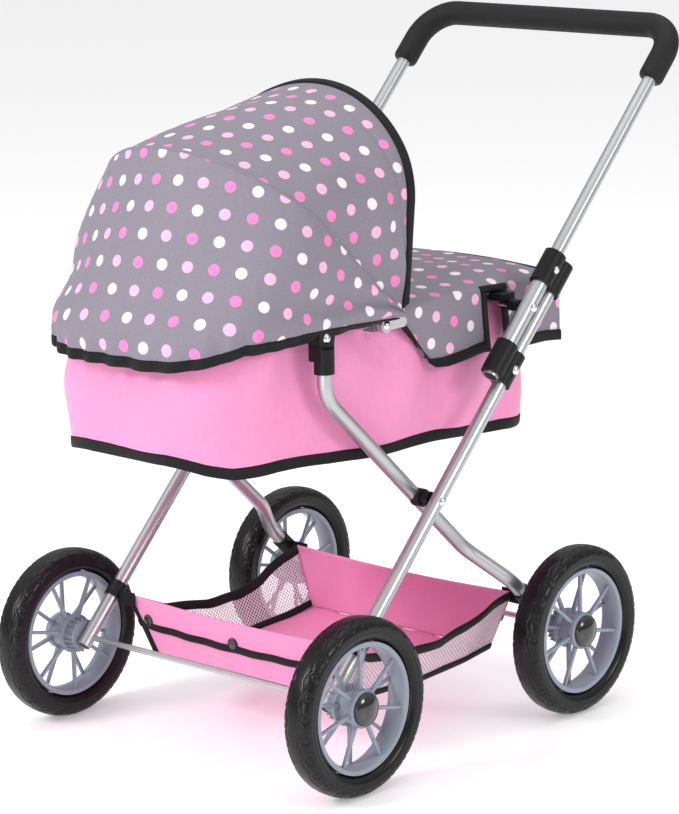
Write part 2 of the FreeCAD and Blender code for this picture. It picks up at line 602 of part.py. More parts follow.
# Collars at the leg pivots, hooks that rest on the lock pins, and brackets that carry the hood's hinges.
collars, hooks, brackets, rim_rivets = [], [], [], []
BRACKET_OUT = size.rim_half + RIM_TUBE + 1.9
EAR_IN = BRACKET_OUT + 0.4
hook_roof = LOCK.z + size.pin_radius + size.soft_gap
hook_lip = LOCK.y + size.pin_radius + size.soft_gap
cot_top = size.rim_height - 7.5
for _, side in SIDES:
    out = X_AXIS * side
    collar = drill(rim_collar(side, FITTING.y, size.collar_length), size.rivet_shank + size.fit_gap,
                   FITTING,
                   X_AXIS, 3 * size.rim_half)
    collars.append(bored(collar, side))
    roof = box_between(side, (size.rim_half, size.leg_half + 3.6), (LOCK.y - 9, hook_lip + 4),
                       (hook_roof, size.rim_height + 3.5))
    lip = box_between(side, (size.rim_half + RIM_TUBE + 2, size.leg_half + 3.6), (hook_lip, hook_lip + 4),
                      (LOCK.z - 5, size.rim_height + 3.5))
    hooks.append(bored(rim_collar(side, LOCK.y - 5, 20).fuse(roof).fuse(lip), side))
    bracket = box_between(side, (size.rim_half - 6, BRACKET_OUT), (HOOD_HINGE.y - 7.5, HOOD_HINGE.y + 7.5),
                          (cot_top + size.soft_gap, size.rim_height + 8.5))
    hinge = at(side * BRACKET_OUT, HOOD_HINGE)
    brackets.append(drill(bored(bracket, side), 1.9 + size.fit_gap, hinge, X_AXIS, 3.2))
    rim_rivets.append(rivet(size.rivet_radius, size.rivet_shank,
                            at(side * (size.rim_half - RIM_TUBE), FITTING),
                            at(side * (FITTING_OUT + 2 * size.fit_gap), FITTING)))
    face = hinge + out * (0.4 + 2 * size.ear_thick + 0.6)
    rim_rivets.append(rivet(size.rivet_radius, 1.9, hinge - out * 1.4, face))
group("pivot_collars", collars)
group("carrycot_hooks", hooks)
group("hood_brackets", brackets)
group("pivot_rivets", rim_rivets)


def ring_loft(sections, thickness):
    """A ruled wall through rounded outlines given as (half, front, rear, corner, height)."""
    outer = Part.makeLoft([rounded_outline(*row) for row in sections], True, True)
    inner = [(half - thickness, front + thickness, rear - thickness, corner - thickness, height)
             for half, front, rear, corner, height in sections]
    return outer.cut(Part.makeLoft([rounded_outline(*row) for row in inner], True, True))


def cot_row(half, height, grow=0.0):
    """An outline parallel to the carrycot frame."""
    offset = half + grow - size.rim_half
    return (half + grow, RIM_FRONT - offset, RIM_REAR + offset, size.rim_corner + offset, height)


cot = ring_loft([cot_row(COT_FOOT_HALF, size.cot_foot), cot_row(COT_HALF, cot_top)],
                size.cloth)
base = Part.Face(rounded_outline(*cot_row(COT_FOOT_HALF, size.cot_foot))).extrude(Z_AXIS * size.cloth)
keep(feature("carrycot_box", cot.fuse(base).removeSplitter()), "carrycot_box")

board_row = cot_row(COT_FOOT_HALF, size.cot_foot + size.cloth + size.fit_gap, -size.cloth - 1)
keep(feature("carrycot_board", Part.Face(rounded_outline(*board_row)).extrude(Z_AXIS * size.board_thick)),
     "carrycot_board")

hem_outer = Part.Face(rounded_outline(*cot_row(COT_FOOT_HALF, size.cot_foot - 1, 2.2)))
hem_inner = Part.Face(rounded_outline(*cot_row(COT_FOOT_HALF, size.cot_foot - 1, 0.8)))
hem = hem_outer.extrude(Z_AXIS * size.hem_height).cut(hem_inner.extrude(Z_AXIS * size.hem_height))
keep(feature("carrycot_hem", hem), "carrycot_hem")

# The apron: a crowned cover over the rear half with flaps down both sides and round the back.
apron_half = COT_HALF + size.soft_gap
apron_rear = cot_row(COT_HALF, 0)[2] + size.soft_gap
apron_front = FITTING.y + size.apron_back


def apron_block(half, low, top, crown, front, rear):
    """A block with a crowned roof, between two Y planes."""
    corners = [Vector(half, front, low), Vector(half, front, top), Vector(-half, front, top),
               Vector(-half, front, low)]
    roof = Part.Arc(corners[1], Vector(0, front, top + crown), corners[2]).toShape()
    wire = Part.Wire([Part.makeLine(corners[0], corners[1]), roof, Part.makeLine(corners[2], corners[3]),
                      Part.makeLine(corners[3], corners[0])])
    return Part.Face(wire).extrude(Vector(0, rear - front, 0))


apron_top = size.rim_height + RIM_TUBE + size.collar_wall + 1
apron_low = size.rim_height - size.apron_drop
crown_rise = size.rim_height + size.apron_crown - apron_top
apron = apron_block(apron_half + size.cloth, apron_low, apron_top + size.cloth, crown_rise, apron_front,
                    apron_rear + size.cloth)
apron = apron.cut(apron_block(apron_half, apron_low - 1, apron_top, crown_rise, apron_front - 1,
                              apron_rear))
for _, side in SIDES:
    window = box_between(side, (apron_half - 3, apron_half + 9), (LOCK.y - 16, LOCK.y + 16),
                         (LOCK.z - 12, apron_top - 0.4))
    apron = apron.cut(window)
keep(feature("apron", apron), "apron")

# ---------------------------------------------------------------- hood


def arch_points(half, rise, foot, flare, radius, turn):
    """An arch of a straight side, a shoulder arc and a crown arc, as (X, distance from the root)."""
    angle = math.radians(turn)
    crown_radius = radius + (half - radius) / math.cos(angle)
    spring = rise - crown_radius - (radius - crown_radius) * math.sin(angle)

    def on_shoulder(part):
        return (half - radius + radius * math.cos(part), spring + radius * math.sin(part))

    return (half + flare, foot), (half, spring), on_shoulder(angle / 2), on_shoulder(angle), (0, rise)


def arch_edges(arch, plane_angle, from_left=True):
    """The arch's five edges in a plane through the root line, from one foot to the other."""
    forward = math.radians(plane_angle)
    first = 1 if from_left else -1

    def lift(point, side):
        x, reach = point
        return Vector(side * x, HOOD_ROOT.y - reach * math.sin(forward),
                      HOOD_ROOT.z + reach * math.cos(forward))

    points = arch_points(*arch)
    foot, spring, bulge, shoulder, crown = (lift(point, first) for point in points)
    foot_b, spring_b, bulge_b, shoulder_b, _ = (lift(point, -first) for point in points)
    return [Part.makeLine(foot, spring), Part.Arc(spring, bulge, shoulder).toShape(),
            Part.Arc(shoulder, crown, shoulder_b).toShape(), Part.Arc(shoulder_b, bulge_b,
                                                                      spring_b).toShape(),
            Part.makeLine(spring_b, foot_b)]


def inset(arch, amount):
    """The same arch moved inwards everywhere."""
    half, rise, foot, flare, radius, turn = arch
    return (half - amount, rise - amount, foot, flare, radius - amount, turn)


def band(arch, plane_angle, thickness):
    """The closed outline of an arched strip, thickness towards the inside."""
    outer = arch_edges(arch, plane_angle)
    inner = arch_edges(inset(arch, thickness), plane_angle, from_left=False)
    left_foot, right_foot = outer[0].Vertexes[0].Point, outer[-1].Vertexes[-1].Point
    inner_right, inner_left = inner[0].Vertexes[0].Point, inner[-1].Vertexes[-1].Point
    return Part.Wire(outer + [Part.makeLine(right_foot, inner_right)] + inner
                     + [Part.makeLine(inner_left, left_foot)])


def hood_panel(name, stations, thickness):
    keep(feature(name, Part.makeLoft([band(*station, thickness) for station in stations], True, True)),
         name)


HOOD_FOOT = 15
front_arch = (size.front_bow_half, size.front_bow_rise, HOOD_FOOT, 3, 0.7 * size.front_bow_half, 40)
mid_arch = (size.mid_bow_half, size.mid_bow_rise, HOOD_FOOT, 4, 0.7 * size.mid_bow_half, 40)
nose_arch = (size.nose_half, size.nose_reach, HOOD_FOOT, 0, 0.44 * size.nose_half, 70)
brow_arch = (0.25 * size.mid_bow_half + 0.75 * size.nose_half, size.nose_reach, *nose_arch[2:])
hood_panel("hood_rear_panel", [(front_arch, size.front_bow_angle + 1), (mid_arch, size.mid_bow_angle)],
           size.cloth)
hood_panel("hood_nose_panel", [(mid_arch, size.mid_bow_angle + 0.4),
                               (brow_arch, (size.mid_bow_angle + 3 * size.nose_angle) / 4),
                               (nose_arch, size.nose_angle)], size.cloth)
edge_arch = inset(front_arch, -0.8)
hood_panel("hood_binding", [(edge_arch, size.front_bow_angle - 2.2),
                            (edge_arch, size.front_bow_angle + 0.7)],
           size.cloth + 1.6)

# Bows: a bent wire with a flat ear at each end, both ears on the hood's hinge line.
for order, (name, arch, plane_angle) in enumerate((
        ("hood_mid_bow", mid_arch, size.mid_bow_angle), ("hood_front_bow", front_arch,
                                                         size.front_bow_angle - 0.7))):
    ear_x = EAR_IN + order * (size.ear_thick + 0.3)
    half, rise, _, _, radius, turn = inset(arch, size.cloth + size.bow_wire + 1.5)
    wire = (half, rise, 2, ear_x + size.ear_thick / 2 - half, radius, turn)
    bow = rod_along(Part.Wire(arch_edges(wire, plane_angle)), size.bow_wire)
    arm = (HOOD_ROOT - HOOD_HINGE).normalize()
    width_way = Vector(0, -arm.z, arm.y)
    for _, side in SIDES:
        inner = min(side * ear_x, side * (ear_x + size.ear_thick))
        base, far = at(inner, HOOD_HINGE), at(inner, HOOD_ROOT)
        corners = [base + width_way * 4, base - width_way * 4, far - width_way * 4, far + width_way * 4]
        bow = bow.fuse(Part.Face(Part.makePolygon(corners + corners[:1])).extrude(X_AXIS * size.ear_thick))
        bow = bow.fuse(Part.makeCylinder(6, size.ear_thick, base, X_AXIS))
        bow = bow.fuse(Part.makeCylinder(4, size.ear_thick, far, X_AXIS))
    bow = drill(bow, 1.9 + size.fit_gap, HOOD_HINGE, X_AXIS, 400)
    keep(feature(name, bow), name)

# ---------------------------------------------------------------- basket

BASKET_FRONT = on_tube(size.basket_front_place)
BASKET_REAR = CROSS + LEG * size.basket_rear_place


def end_panel(name, top, foot, outward):
    """An end wall, wide at its top and narrow at the floor; gives its direction outwards."""
    corners = [at(size.basket_half_top, top), at(-size.basket_half_top, top),
               at(-size.basket_half_foot, foot), at(size.basket_half_foot, foot)]
    down = (foot - top).normalize()
    direction = Vector(0, outward * abs(down.z), -abs(down.y))
    face = Part.Face(Part.makePolygon(corners + corners[:1]))
    keep(feature(name, face.extrude(direction * size.cloth)), name)
    return direction


FRONT_FOOT = Vector(0, BASKET_FRONT.y + 12, size.basket_front_foot)
REAR_FOOT = Vector(0, BASKET_REAR.y - 4, size.basket_rear_foot)
FRONT_OUT = end_panel("basket_front_panel", BASKET_FRONT, FRONT_FOOT, -1)
REAR_OUT = end_panel("basket_rear_panel", BASKET_REAR, REAR_FOOT, 1)

gap = size.soft_gap
low_front = FRONT_FOOT + Y_AXIS * gap
low_rear = REAR_FOOT - Y_AXIS * gap
half_floor = size.basket_half_foot - gap
floor_corners = [Vector(half_floor, low_front.y, low_front.z), Vector(half_floor, low_rear.y, low_rear.z),
                 Vector(-half_floor, low_rear.y, low_rear.z), Vector(-half_floor, low_front.y, low_front.z)]
floor = Part.Face(Part.makePolygon(floor_corners + floor_corners[:1])).extrude(Z_AXIS * -size.cloth)
keep(feature("basket_floor", floor), "basket_floor")

for s, side in SIDES:
    foot_x, top_x = side * (half_floor + gap), side * size.basket_half_top
    front_top = Vector(top_x, BASKET_FRONT.y + gap + 0.5, BASKET_FRONT.z - 2)
    rear_top = Vector(top_x, BASKET_REAR.y - gap - 0.5, BASKET_REAR.z - 2)
    dip_z = (front_top.z + rear_top.z) / 2 - size.basket_sag
    share = (dip_z - 57) / (front_top.z - 57)
    dip = Vector(foot_x + (top_x - foot_x) * share, (front_top.y + rear_top.y) / 2, dip_z)
    lower = [Vector(foot_x, low_front.y, low_front.z), Vector(foot_x, low_rear.y, low_rear.z)]
    normal = Vector(side, 0, 0)
    walls = []
    for quad in ([front_top, dip, (lower[0] + lower[1]) * 0.5, lower[0]],
                 [dip, rear_top, lower[1], (lower[0] + lower[1]) * 0.5]):
        surface = Part.makeRuledSurface(Part.makeLine(quad[0], quad[1]), Part.makeLine(quad[3], quad[2]))
        walls.append(surface.extrude(normal * size.cloth * 0.6))
    keep(feature(f"basket_mesh_{s}", walls[0].fuse(walls[1])), f"basket_mesh_{s}")

# Straps tie the panels' upper corners to the tubes; snap heads close them and the front panel's hem.
front_straps, rear_straps, front_snaps, rear_snaps = [], [], [], []
front_face, rear_face = BASKET_FRONT.y - size.cloth - 0.6, BASKET_REAR.y + size.cloth + 0.6
for _, side in SIDES:
    for store, point, direction, face, back in ((front_straps, BASKET_FRONT, ALONG, front_face, -1),
                                                (rear_straps, BASKET_REAR, LEG, rear_face, 1)):
        centre = at(side * size.frame_half, point)
        loop = Part.makeCylinder(TUBE + 1.4, 14, centre - direction * 7, direction)
        tab = box_between(side, (size.basket_half_top - 12, size.frame_half - TUBE),
                          (min(face, face + back), max(face, face + back)), (point.z - 10, point.z + 2))
        strap = loop.fuse(tab).cut(Part.makeCylinder(TUBE + size.fit_gap, 60, centre - direction * 30,
                                                     direction))
        store.append(strap)
for store, places, top, foot, direction in (
        (front_snaps, (-105, 0, 105), BASKET_FRONT, FRONT_FOOT, FRONT_OUT),
        (rear_snaps, (-108, 108), BASKET_REAR, REAR_FOOT, REAR_OUT)):
    seat = top + (foot - top).normalize() * 14 + direction * (size.cloth + size.fit_gap)
    for x in places:
        store.append(dome(4, 1.6, at(x, seat), direction))
group("basket_straps_front", front_straps)
group("basket_straps_rear", rear_straps)
group("basket_snaps_front", front_snaps)
group("basket_snaps_rear", rear_snaps)

# ---------------------------------------------------------------- check and write

doc.recompute()
for obj in doc.Objects:
    if "Invalid" in obj.State or "Error" in obj.State:
        raise RuntimeError(f"{obj.Name} failed: {obj.State}")
for node in nodes:
    if node.Shape.isNull() or not node.Shape.Solids:
        raise RuntimeError(f"{node.Label} has no solid")
    if not all(solid.isValid() for solid in node.Shape.Solids):
        raise RuntimeError(f"{node.Label} is not valid")

os.makedirs("parts", exist_ok=True)
for node in nodes:
    node.Shape.exportStep(f"parts/{node.Label}.step")
box = FreeCAD.BoundBox()
for node in nodes:
    box.add(node.Shape.BoundBox)
print(len(nodes), "nodes", box)
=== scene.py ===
import math

import bpy
import numpy as np
from mathutils import Matrix, Quaternion, Vector
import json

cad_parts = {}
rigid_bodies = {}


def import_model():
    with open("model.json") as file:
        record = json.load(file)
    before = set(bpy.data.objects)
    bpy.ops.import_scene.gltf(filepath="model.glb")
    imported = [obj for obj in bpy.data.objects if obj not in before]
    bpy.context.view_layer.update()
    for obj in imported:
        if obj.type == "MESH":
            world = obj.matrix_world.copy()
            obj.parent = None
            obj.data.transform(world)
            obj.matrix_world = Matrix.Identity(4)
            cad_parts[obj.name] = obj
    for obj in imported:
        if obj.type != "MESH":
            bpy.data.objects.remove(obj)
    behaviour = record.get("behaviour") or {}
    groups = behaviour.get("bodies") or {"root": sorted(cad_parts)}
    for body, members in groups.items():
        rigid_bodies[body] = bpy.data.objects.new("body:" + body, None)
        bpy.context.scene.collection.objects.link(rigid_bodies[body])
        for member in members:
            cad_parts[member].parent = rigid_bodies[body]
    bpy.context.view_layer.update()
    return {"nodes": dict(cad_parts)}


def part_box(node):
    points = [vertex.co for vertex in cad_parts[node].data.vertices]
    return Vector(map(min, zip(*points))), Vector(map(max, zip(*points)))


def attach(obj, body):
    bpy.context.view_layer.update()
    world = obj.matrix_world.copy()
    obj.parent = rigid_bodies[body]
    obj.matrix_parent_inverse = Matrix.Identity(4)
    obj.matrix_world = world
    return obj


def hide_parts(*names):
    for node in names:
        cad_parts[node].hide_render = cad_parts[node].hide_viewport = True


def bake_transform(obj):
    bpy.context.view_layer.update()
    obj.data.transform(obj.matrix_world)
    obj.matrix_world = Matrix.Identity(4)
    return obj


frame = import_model()
nodes = frame["nodes"]

# ------------------------------------------------------------------ camera
# A long lens in front of the stroller and to its left, a little higher than the handle. It looks slightly down
# at the carrycot and is rolled by a degree.
camera_data = bpy.data.cameras.new("camera")
camera_data.sensor_width = 36
camera_data.lens = 139.6
camera_data.shift_x = 0.0232
camera_data.shift_y = -0.0060
camera_data.clip_end = 50
camera = bpy.data.objects.new("camera", camera_data)
bpy.context.scene.collection.objects.link(camera)
azimuth, elevation = math.radians(42.95), math.radians(12.25)
towards_camera = Vector((math.sin(azimuth) * math.cos(elevation), -math.cos(azimuth) * math.cos(elevation),
                         math.sin(elevation)))
camera.location = (1.7473, -1.9185, 0.8244)
camera.rotation_mode = "QUATERNION"
camera.rotation_quaternion = ((-towards_camera).to_track_quat("-Z", "Y")
                              @ Quaternion((0, 0, 1), math.radians(-1.12)))
bpy.context.scene.camera = camera

# ------------------------------------------------------------------ studio
# White paper lies under and behind the stroller. A bright sky lights it from all round, with a key and a low fill
# in front, a lamp at its left side and a wide one overhead.


def material_named(name, color, roughness, metallic=0.0):
    """A new material, its node tree and its shader."""
    material = bpy.data.materials.new(name)
    material.use_nodes = True
    shader = material.node_tree.nodes["Principled BSDF"]
    shader.inputs["Base Color"].default_value = (*color, 1)
    shader.inputs["Roughness"].default_value = roughness
    shader.inputs["Metallic"].default_value = metallic
    return material, material.node_tree, shader


def clear_selection():
    for item in bpy.context.view_layer.objects:
        item.select_set(False)


clear_selection()
bpy.ops.mesh.primitive_plane_add(size=24, location=(0, 0, 0))
floor = bpy.context.object
floor.name = "floor"
paper, _, paper_shader = material_named("white_paper", (0.93, 0.93, 0.935), 0.3)
paper_shader.inputs["Specular IOR Level"].default_value = 0.3
paper_shader.inputs["Emission Color"].default_value = (1, 1, 1, 1)
paper_shader.inputs["Emission Strength"].default_value = 0.26
floor.data.materials.append(paper)

world = bpy.data.worlds.new("studio")
bpy.context.scene.world = world
world.use_nodes = True
sky = world.node_tree
sky_place = sky.nodes.new("ShaderNodeTexCoord")
sky_parts = sky.nodes.new("ShaderNodeSeparateXYZ")
sky_ramp = sky.nodes.new("ShaderNodeValToRGB")
sky_ramp.color_ramp.elements[0].position = 0.0
sky_ramp.color_ramp.elements[0].color = (0.30, 0.30, 0.31, 1)
sky_ramp.color_ramp.elements[1].position = 0.9
sky_ramp.color_ramp.elements[1].color = (1, 1, 1, 1)
sky.links.new(sky_place.outputs["Generated"], sky_parts.inputs["Vector"])
sky.links.new(sky_parts.outputs["Z"], sky_ramp.inputs["Fac"])
sky.links.new(sky_ramp.outputs["Color"], sky.nodes["Background"].inputs["Color"])
sky.nodes["Background"].inputs["Strength"].default_value = 0.92
for lamp_name, place, power, width in (
        ("key_light", (-0.9, -2.6, 2.0), 50, 0.9), ("side_light", (3.0, 0.2, 1.5), 26, 0.9),
        ("low_fill", (0.9, -2.6, 0.45), 12, 1.0), ("top_light", (0, 0.4, 3.2), 20, 2.4)):
    lamp = bpy.data.lights.new(lamp_name, "AREA")
    lamp.energy = power
    lamp.size = width
    lamp_object = bpy.data.objects.new(lamp_name, lamp)
    bpy.context.scene.collection.objects.link(lamp_object)
    lamp_object.location = place
    lamp_object.rotation_mode = "QUATERNION"
    lamp_object.rotation_quaternion = (Vector((0, 0, 0.25)) - Vector(place)).to_track_quat("-Z", "Y")
bpy.context.scene.view_settings.view_transform = "Standard"

# ------------------------------------------------------------------ frame tubes
# Round steel tube, bent and drilled, then sprayed with silver lacquer. The telescoping handle slides in the
# chassis tubes, and the carrycot's oval frame is thinner tube with the same finish.


def add_node(tree, kind, **inputs):
    node = tree.nodes.new(kind)
    for socket, value in inputs.items():
        node.inputs[socket.replace("_", " ")].default_value = value
    return node


def set_material(names, material):
    """Gives CAD parts their finish."""
    for name in names:
        nodes[name].data.materials.clear()
        nodes[name].data.materials.append(material)


def noise_bump(tree, shader, scale, strength, distance):
    """A fine uneven surface on the piece's own coordinates."""
    place = tree.nodes.new("ShaderNodeTexCoord")
    noise = add_node(tree, "ShaderNodeTexNoise", Scale=scale, Detail=3)
    bump = add_node(tree, "ShaderNodeBump", Strength=strength, Distance=distance)
    tree.links.new(place.outputs["Object"], noise.inputs["Vector"])
    tree.links.new(noise.outputs["Fac"], bump.inputs["Height"])
    tree.links.new(bump.outputs["Normal"], shader.inputs["Normal"])
    return noise


def noise_roughness(tree, shader, noise, low, high):
    """Roughness that drifts between two values."""
    spread = add_node(tree, "ShaderNodeMapRange")
    spread.inputs["To Min"].default_value = low
    spread.inputs["To Max"].default_value = high
    tree.links.new(noise.outputs["Fac"], spread.inputs["Value"])
    tree.links.new(spread.outputs["Result"], shader.inputs["Roughness"])


silver, silver_tree, silver_shader = material_named("silver_lacquer", (0.47, 0.475, 0.49), 0.32, 0.88)
silver_noise = noise_bump(silver_tree, silver_shader, 900, 0.10, 0.0004)
noise_roughness(silver_tree, silver_shader, silver_noise, 0.27, 0.40)
silver_shader.inputs["Coat Weight"].default_value = 0.25
set_material(["chassis_tube_l", "chassis_tube_r", "handle_sleeve_l", "handle_sleeve_r", "leg_tube_l", "leg_tube_r",
              "handle_tube", "carrycot_frame"], silver)

# ------------------------------------------------------------------ clamps and fittings
# Black nylon, injection moulded with a finely sparked surface, clipped and riveted round the tubes. The hood's
# two brackets are the same kind of moulding in grey.
nylon, nylon_tree, nylon_shader = material_named("black_nylon", (0.007, 0.007, 0.008), 0.4)
noise_roughness(nylon_tree, nylon_shader, noise_bump(nylon_tree, nylon_shader, 1400, 0.18, 0.0005), 0.34, 0.52)
nylon_shader.inputs["Specular IOR Level"].default_value = 0.22
set_material(["upper_clamps", "lower_clamps", "corner_fitting_l", "corner_fitting_r", "cross_spacers",
              "lock_pin_spacers", "pivot_collars", "carrycot_hooks"], nylon)
grey_nylon, grey_tree, grey_shader = material_named("grey_nylon", (0.16, 0.165, 0.19), 0.4)
noise_roughness(grey_tree, grey_shader, noise_bump(grey_tree, grey_shader, 1300, 0.15, 0.0005), 0.34, 0.5)
set_material(["hood_brackets"], grey_nylon)

# ------------------------------------------------------------------ rivets, snap buttons and axles
# The domed rivets and the handle's snap buttons are steel with nickel plate, closed or pressed into the tubes.
# The axles, the hood's bows and the snap springs are bright drawn steel wire.
nickel, nickel_tree, nickel_shader = material_named("nickel_plate", (0.78, 0.77, 0.75), 0.16, 1.0)
noise_roughness(nickel_tree, nickel_shader, noise_bump(nickel_tree, nickel_shader, 500, 0.06, 0.0004), 0.12, 0.26)
set_material(["clamp_rivets", "carrycot_lock_pins", "cross_rivets", "pivot_rivets", "snap_button_l",
              "snap_button_r"], nickel)
drawn, drawn_tree, drawn_shader = material_named("drawn_steel", (0.55, 0.56, 0.57), 0.3, 1.0)
noise_roughness(drawn_tree, drawn_shader, noise_bump(drawn_tree, drawn_shader, 700, 0.12, 0.0004), 0.22, 0.42)
set_material(["front_axle", "rear_axle", "front_push_nuts", "rear_push_nuts", "hood_mid_bow", "hood_front_bow",
              "snap_springs"], drawn)

# ------------------------------------------------------------------ tyres
# Solid black rubber, moulded in one ring and stretched over the wheel. Small round grooves run along each
# shoulder, a wavy groove lies on either side of the tread, and a line is moulded lower down the wall.


def sheet_from(name, columns, rows, place, close=False):
    """A grid whose corner values u and v, both 0 to 1, are moved to their places in space."""
    clear_selection()
    bpy.ops.mesh.primitive_grid_add(x_subdivisions=columns, y_subdivisions=rows, size=1, location=(0, 0, 0))
    piece = bpy.context.object
    piece.name = name
    corners = np.array([v.co for v in piece.data.vertices])
    points = place(corners[:, 0] + 0.5, corners[:, 1] + 0.5)
    piece.data.vertices.foreach_set("co", np.asarray(points, dtype=np.float32).ravel())
    piece.data.update()
    if close:
        bpy.ops.object.mode_set(mode="EDIT")
        bpy.ops.mesh.select_all(action="SELECT")
        bpy.ops.mesh.remove_doubles(threshold=0.00001)
        bpy.ops.mesh.normals_make_consistent(inside=False)
        bpy.ops.object.mode_set(mode="OBJECT")
    bpy.ops.object.shade_smooth()
    return piece


def finish_piece(piece, material, body, slot, *stands_for):
    piece.data.materials.clear()
    piece.data.materials.append(material)
    if body:
        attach(piece, body)
    if stands_for:
        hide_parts(*stands_for)
    return piece


rubber, rubber_tree, rubber_shader = material_named("tyre_rubber", (0.0040, 0.0038, 0.0045), 0.3)
noise_roughness(rubber_tree, rubber_shader, noise_bump(rubber_tree, rubber_shader, 900, 0.10, 0.0004), 0.22, 0.36)
rubber_shader.inputs["Specular IOR Level"].default_value = 0.3

TYRE_OUT, TYRE_IN, TYRE_HALF = 0.0719, 0.0532, 0.0129
LUGS = 26
# in millimetres: the shoulder's radius, the distances of each groove from the middle of the tread, and their widths
SHOULDER, RING_DOWN, RING_RADIUS, WAVE_DOWN, WAVE_RISE, LINE_DOWN = 66, 11.6, 3.0, 6.1, 1.3, 19.5
RING_WIDE, WAVE_WIDE, LINE_WIDE = 0.55, 0.6, 0.5
GROOVE_DEEP, LINE_DEEP = 0.0009, 0.0004
section_turn = np.linspace(-np.pi, np.pi, 721)
section_across = TYRE_HALF * np.sign(np.sin(section_turn)) * np.abs(np.sin(section_turn)) ** 0.8
section_radius = (TYRE_OUT + TYRE_IN) / 2 + (TYRE_OUT - TYRE_IN) / 2 * np.sign(np.cos(section_turn)) * np.abs(
    np.cos(section_turn)) ** 0.75
section_length = np.concatenate([[0], np.cumsum(np.hypot(np.diff(section_across), np.diff(section_radius)))])
section_length -= section_length[360]
normal_across, normal_radius = -np.gradient(section_radius), np.gradient(section_across)
normal_size = np.hypot(normal_across, normal_radius) + 1e-12


def tyre_surface(u, v):
    """u runs round the wheel, v round its section from the rim over the tread and back; the grooves are sunk."""
    turn = 2 * np.pi * u
    run = section_length[0] + (section_length[-1] - section_length[0]) * v
    across = np.interp(run, section_length, section_across)
    radius = np.interp(run, section_length, section_radius)
    out_across = np.interp(run, section_length, normal_across / normal_size)
    out_radius = np.interp(run, section_length, normal_radius / normal_size)
    pitch = 2 * np.pi / LUGS
    along = ((turn + pitch / 2 * (across > 0)) % pitch - pitch / 2) * SHOULDER
    down = np.abs(run) * 1000
    ring = np.exp(-((np.hypot(along, down - RING_DOWN) - RING_RADIUS) / RING_WIDE) ** 2)
    wave = np.exp(-((down - WAVE_DOWN - WAVE_RISE * np.sin(turn * LUGS)) / WAVE_WIDE) ** 2)
    line = np.exp(-((down - LINE_DOWN) / LINE_WIDE) ** 2)
    sink = GROOVE_DEEP * ring + GROOVE_DEEP * wave + LINE_DEEP * line
    across = across - out_across * sink
    radius = radius - out_radius * sink
    return np.stack([across, radius * np.sin(turn), radius * np.cos(turn)], axis=1)


def copy_at(pattern, name, move):
    """A copy with its own mesh, moved to its place. A mirrored one has its faces turned outwards again."""
    copy = bpy.data.objects.new(name, pattern.data.copy())
    bpy.context.scene.collection.objects.link(copy)
    copy.data.transform(move)
    if move.determinant() < 0:
        copy.data.flip_normals()
    return copy


WHEEL_CENTRES = {}
for node_name in [name for name in nodes if name.startswith("tyre_")]:
    low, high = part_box(node_name)
    wheel = node_name.replace("tyre_", "")
    WHEEL_CENTRES[wheel] = ((low[0] + high[0]) / 2, (low[1] + high[1]) / 2, (low[2] + high[2]) / 2)
tyre_pattern = sheet_from("tyre_pattern", 600, 88, tyre_surface, close=True)
for wheel, centre in WHEEL_CENTRES.items():
    side = Matrix.Diagonal((1 if centre[0] > 0 else -1, 1, 1, 1))
    tyre = copy_at(tyre_pattern, f"tread_{wheel}", Matrix.Translation(centre) @ side)
    finish_piece(tyre, rubber, f"wheel_{wheel}", "tyre_black", f"tyre_{wheel}")
bpy.data.objects.remove(tyre_pattern)

# ------------------------------------------------------------------ spoked wheels
# One blue-grey nylon moulding: a deep ring, two rows of tapered spokes, and a hub whose inner face is ribbed. It
# turns on the axle, and a glossy black cap is pressed over the hub's outer end.
spoke_nylon, spoke_tree, spoke_shader = material_named("blue_grey_nylon", (0.265, 0.29, 0.355), 0.34)
noise_roughness(spoke_tree, spoke_shader, noise_bump(spoke_tree, spoke_shader, 800, 0.10, 0.0005), 0.28, 0.42)


def edit_select(piece, chosen):
    """In edit mode, selects only the faces whose centre and normal pass a test."""
    bpy.ops.object.mode_set(mode="OBJECT")
    for vertex in piece.data.vertices:
        vertex.select = False
    for edge in piece.data.edges:
        edge.select = False
    for face in piece.data.polygons:
        face.select = chosen(face.center, face.normal)
    bpy.ops.object.mode_set(mode="EDIT")
    bpy.ops.mesh.select_mode(type="FACE")


def join(pieces, name):
    clear_selection()
    for piece in pieces:
        piece.select_set(True)
    bpy.context.view_layer.objects.active = pieces[0]
    bpy.ops.object.join()
    whole = bpy.context.object
    whole.name = name
    return whole


def apply_all(piece):
    clear_selection()
    piece.select_set(True)
    bpy.context.view_layer.objects.active = piece
    for modifier in list(piece.modifiers):
        bpy.ops.object.modifier_apply(modifier=modifier.name)


def round_edges(piece, width, segments=2):
    bevel = piece.modifiers.new("soft_edges", "BEVEL")
    bevel.width = width
    bevel.segments = segments
    bevel.limit_method = "ANGLE"
    bevel.angle_limit = math.radians(35)
    apply_all(piece)


def turned_ring(name, profile, steps=96):
    """A ring spun about X from a closed half section of (along X, radius)."""
    clear_selection()
    bpy.ops.mesh.primitive_circle_add(vertices=len(profile), radius=0.01, location=(0, 0, 0))
    piece = bpy.context.object
    piece.name = name
    for corner, (along, radius) in zip(piece.data.vertices, profile):
        corner.co = (along, 0, radius)
    bpy.ops.object.mode_set(mode="EDIT")
    bpy.ops.mesh.select_all(action="SELECT")
    bpy.ops.mesh.spin(steps=steps, angle=2 * math.pi, center=(0, 0, 0), axis=(1, 0, 0))
    bpy.ops.mesh.select_all(action="SELECT")
    bpy.ops.mesh.remove_doubles(threshold=0.00001)
    bpy.ops.mesh.normals_make_consistent(inside=False)
    bpy.ops.object.mode_set(mode="OBJECT")
    bpy.ops.object.shade_smooth()
    return piece


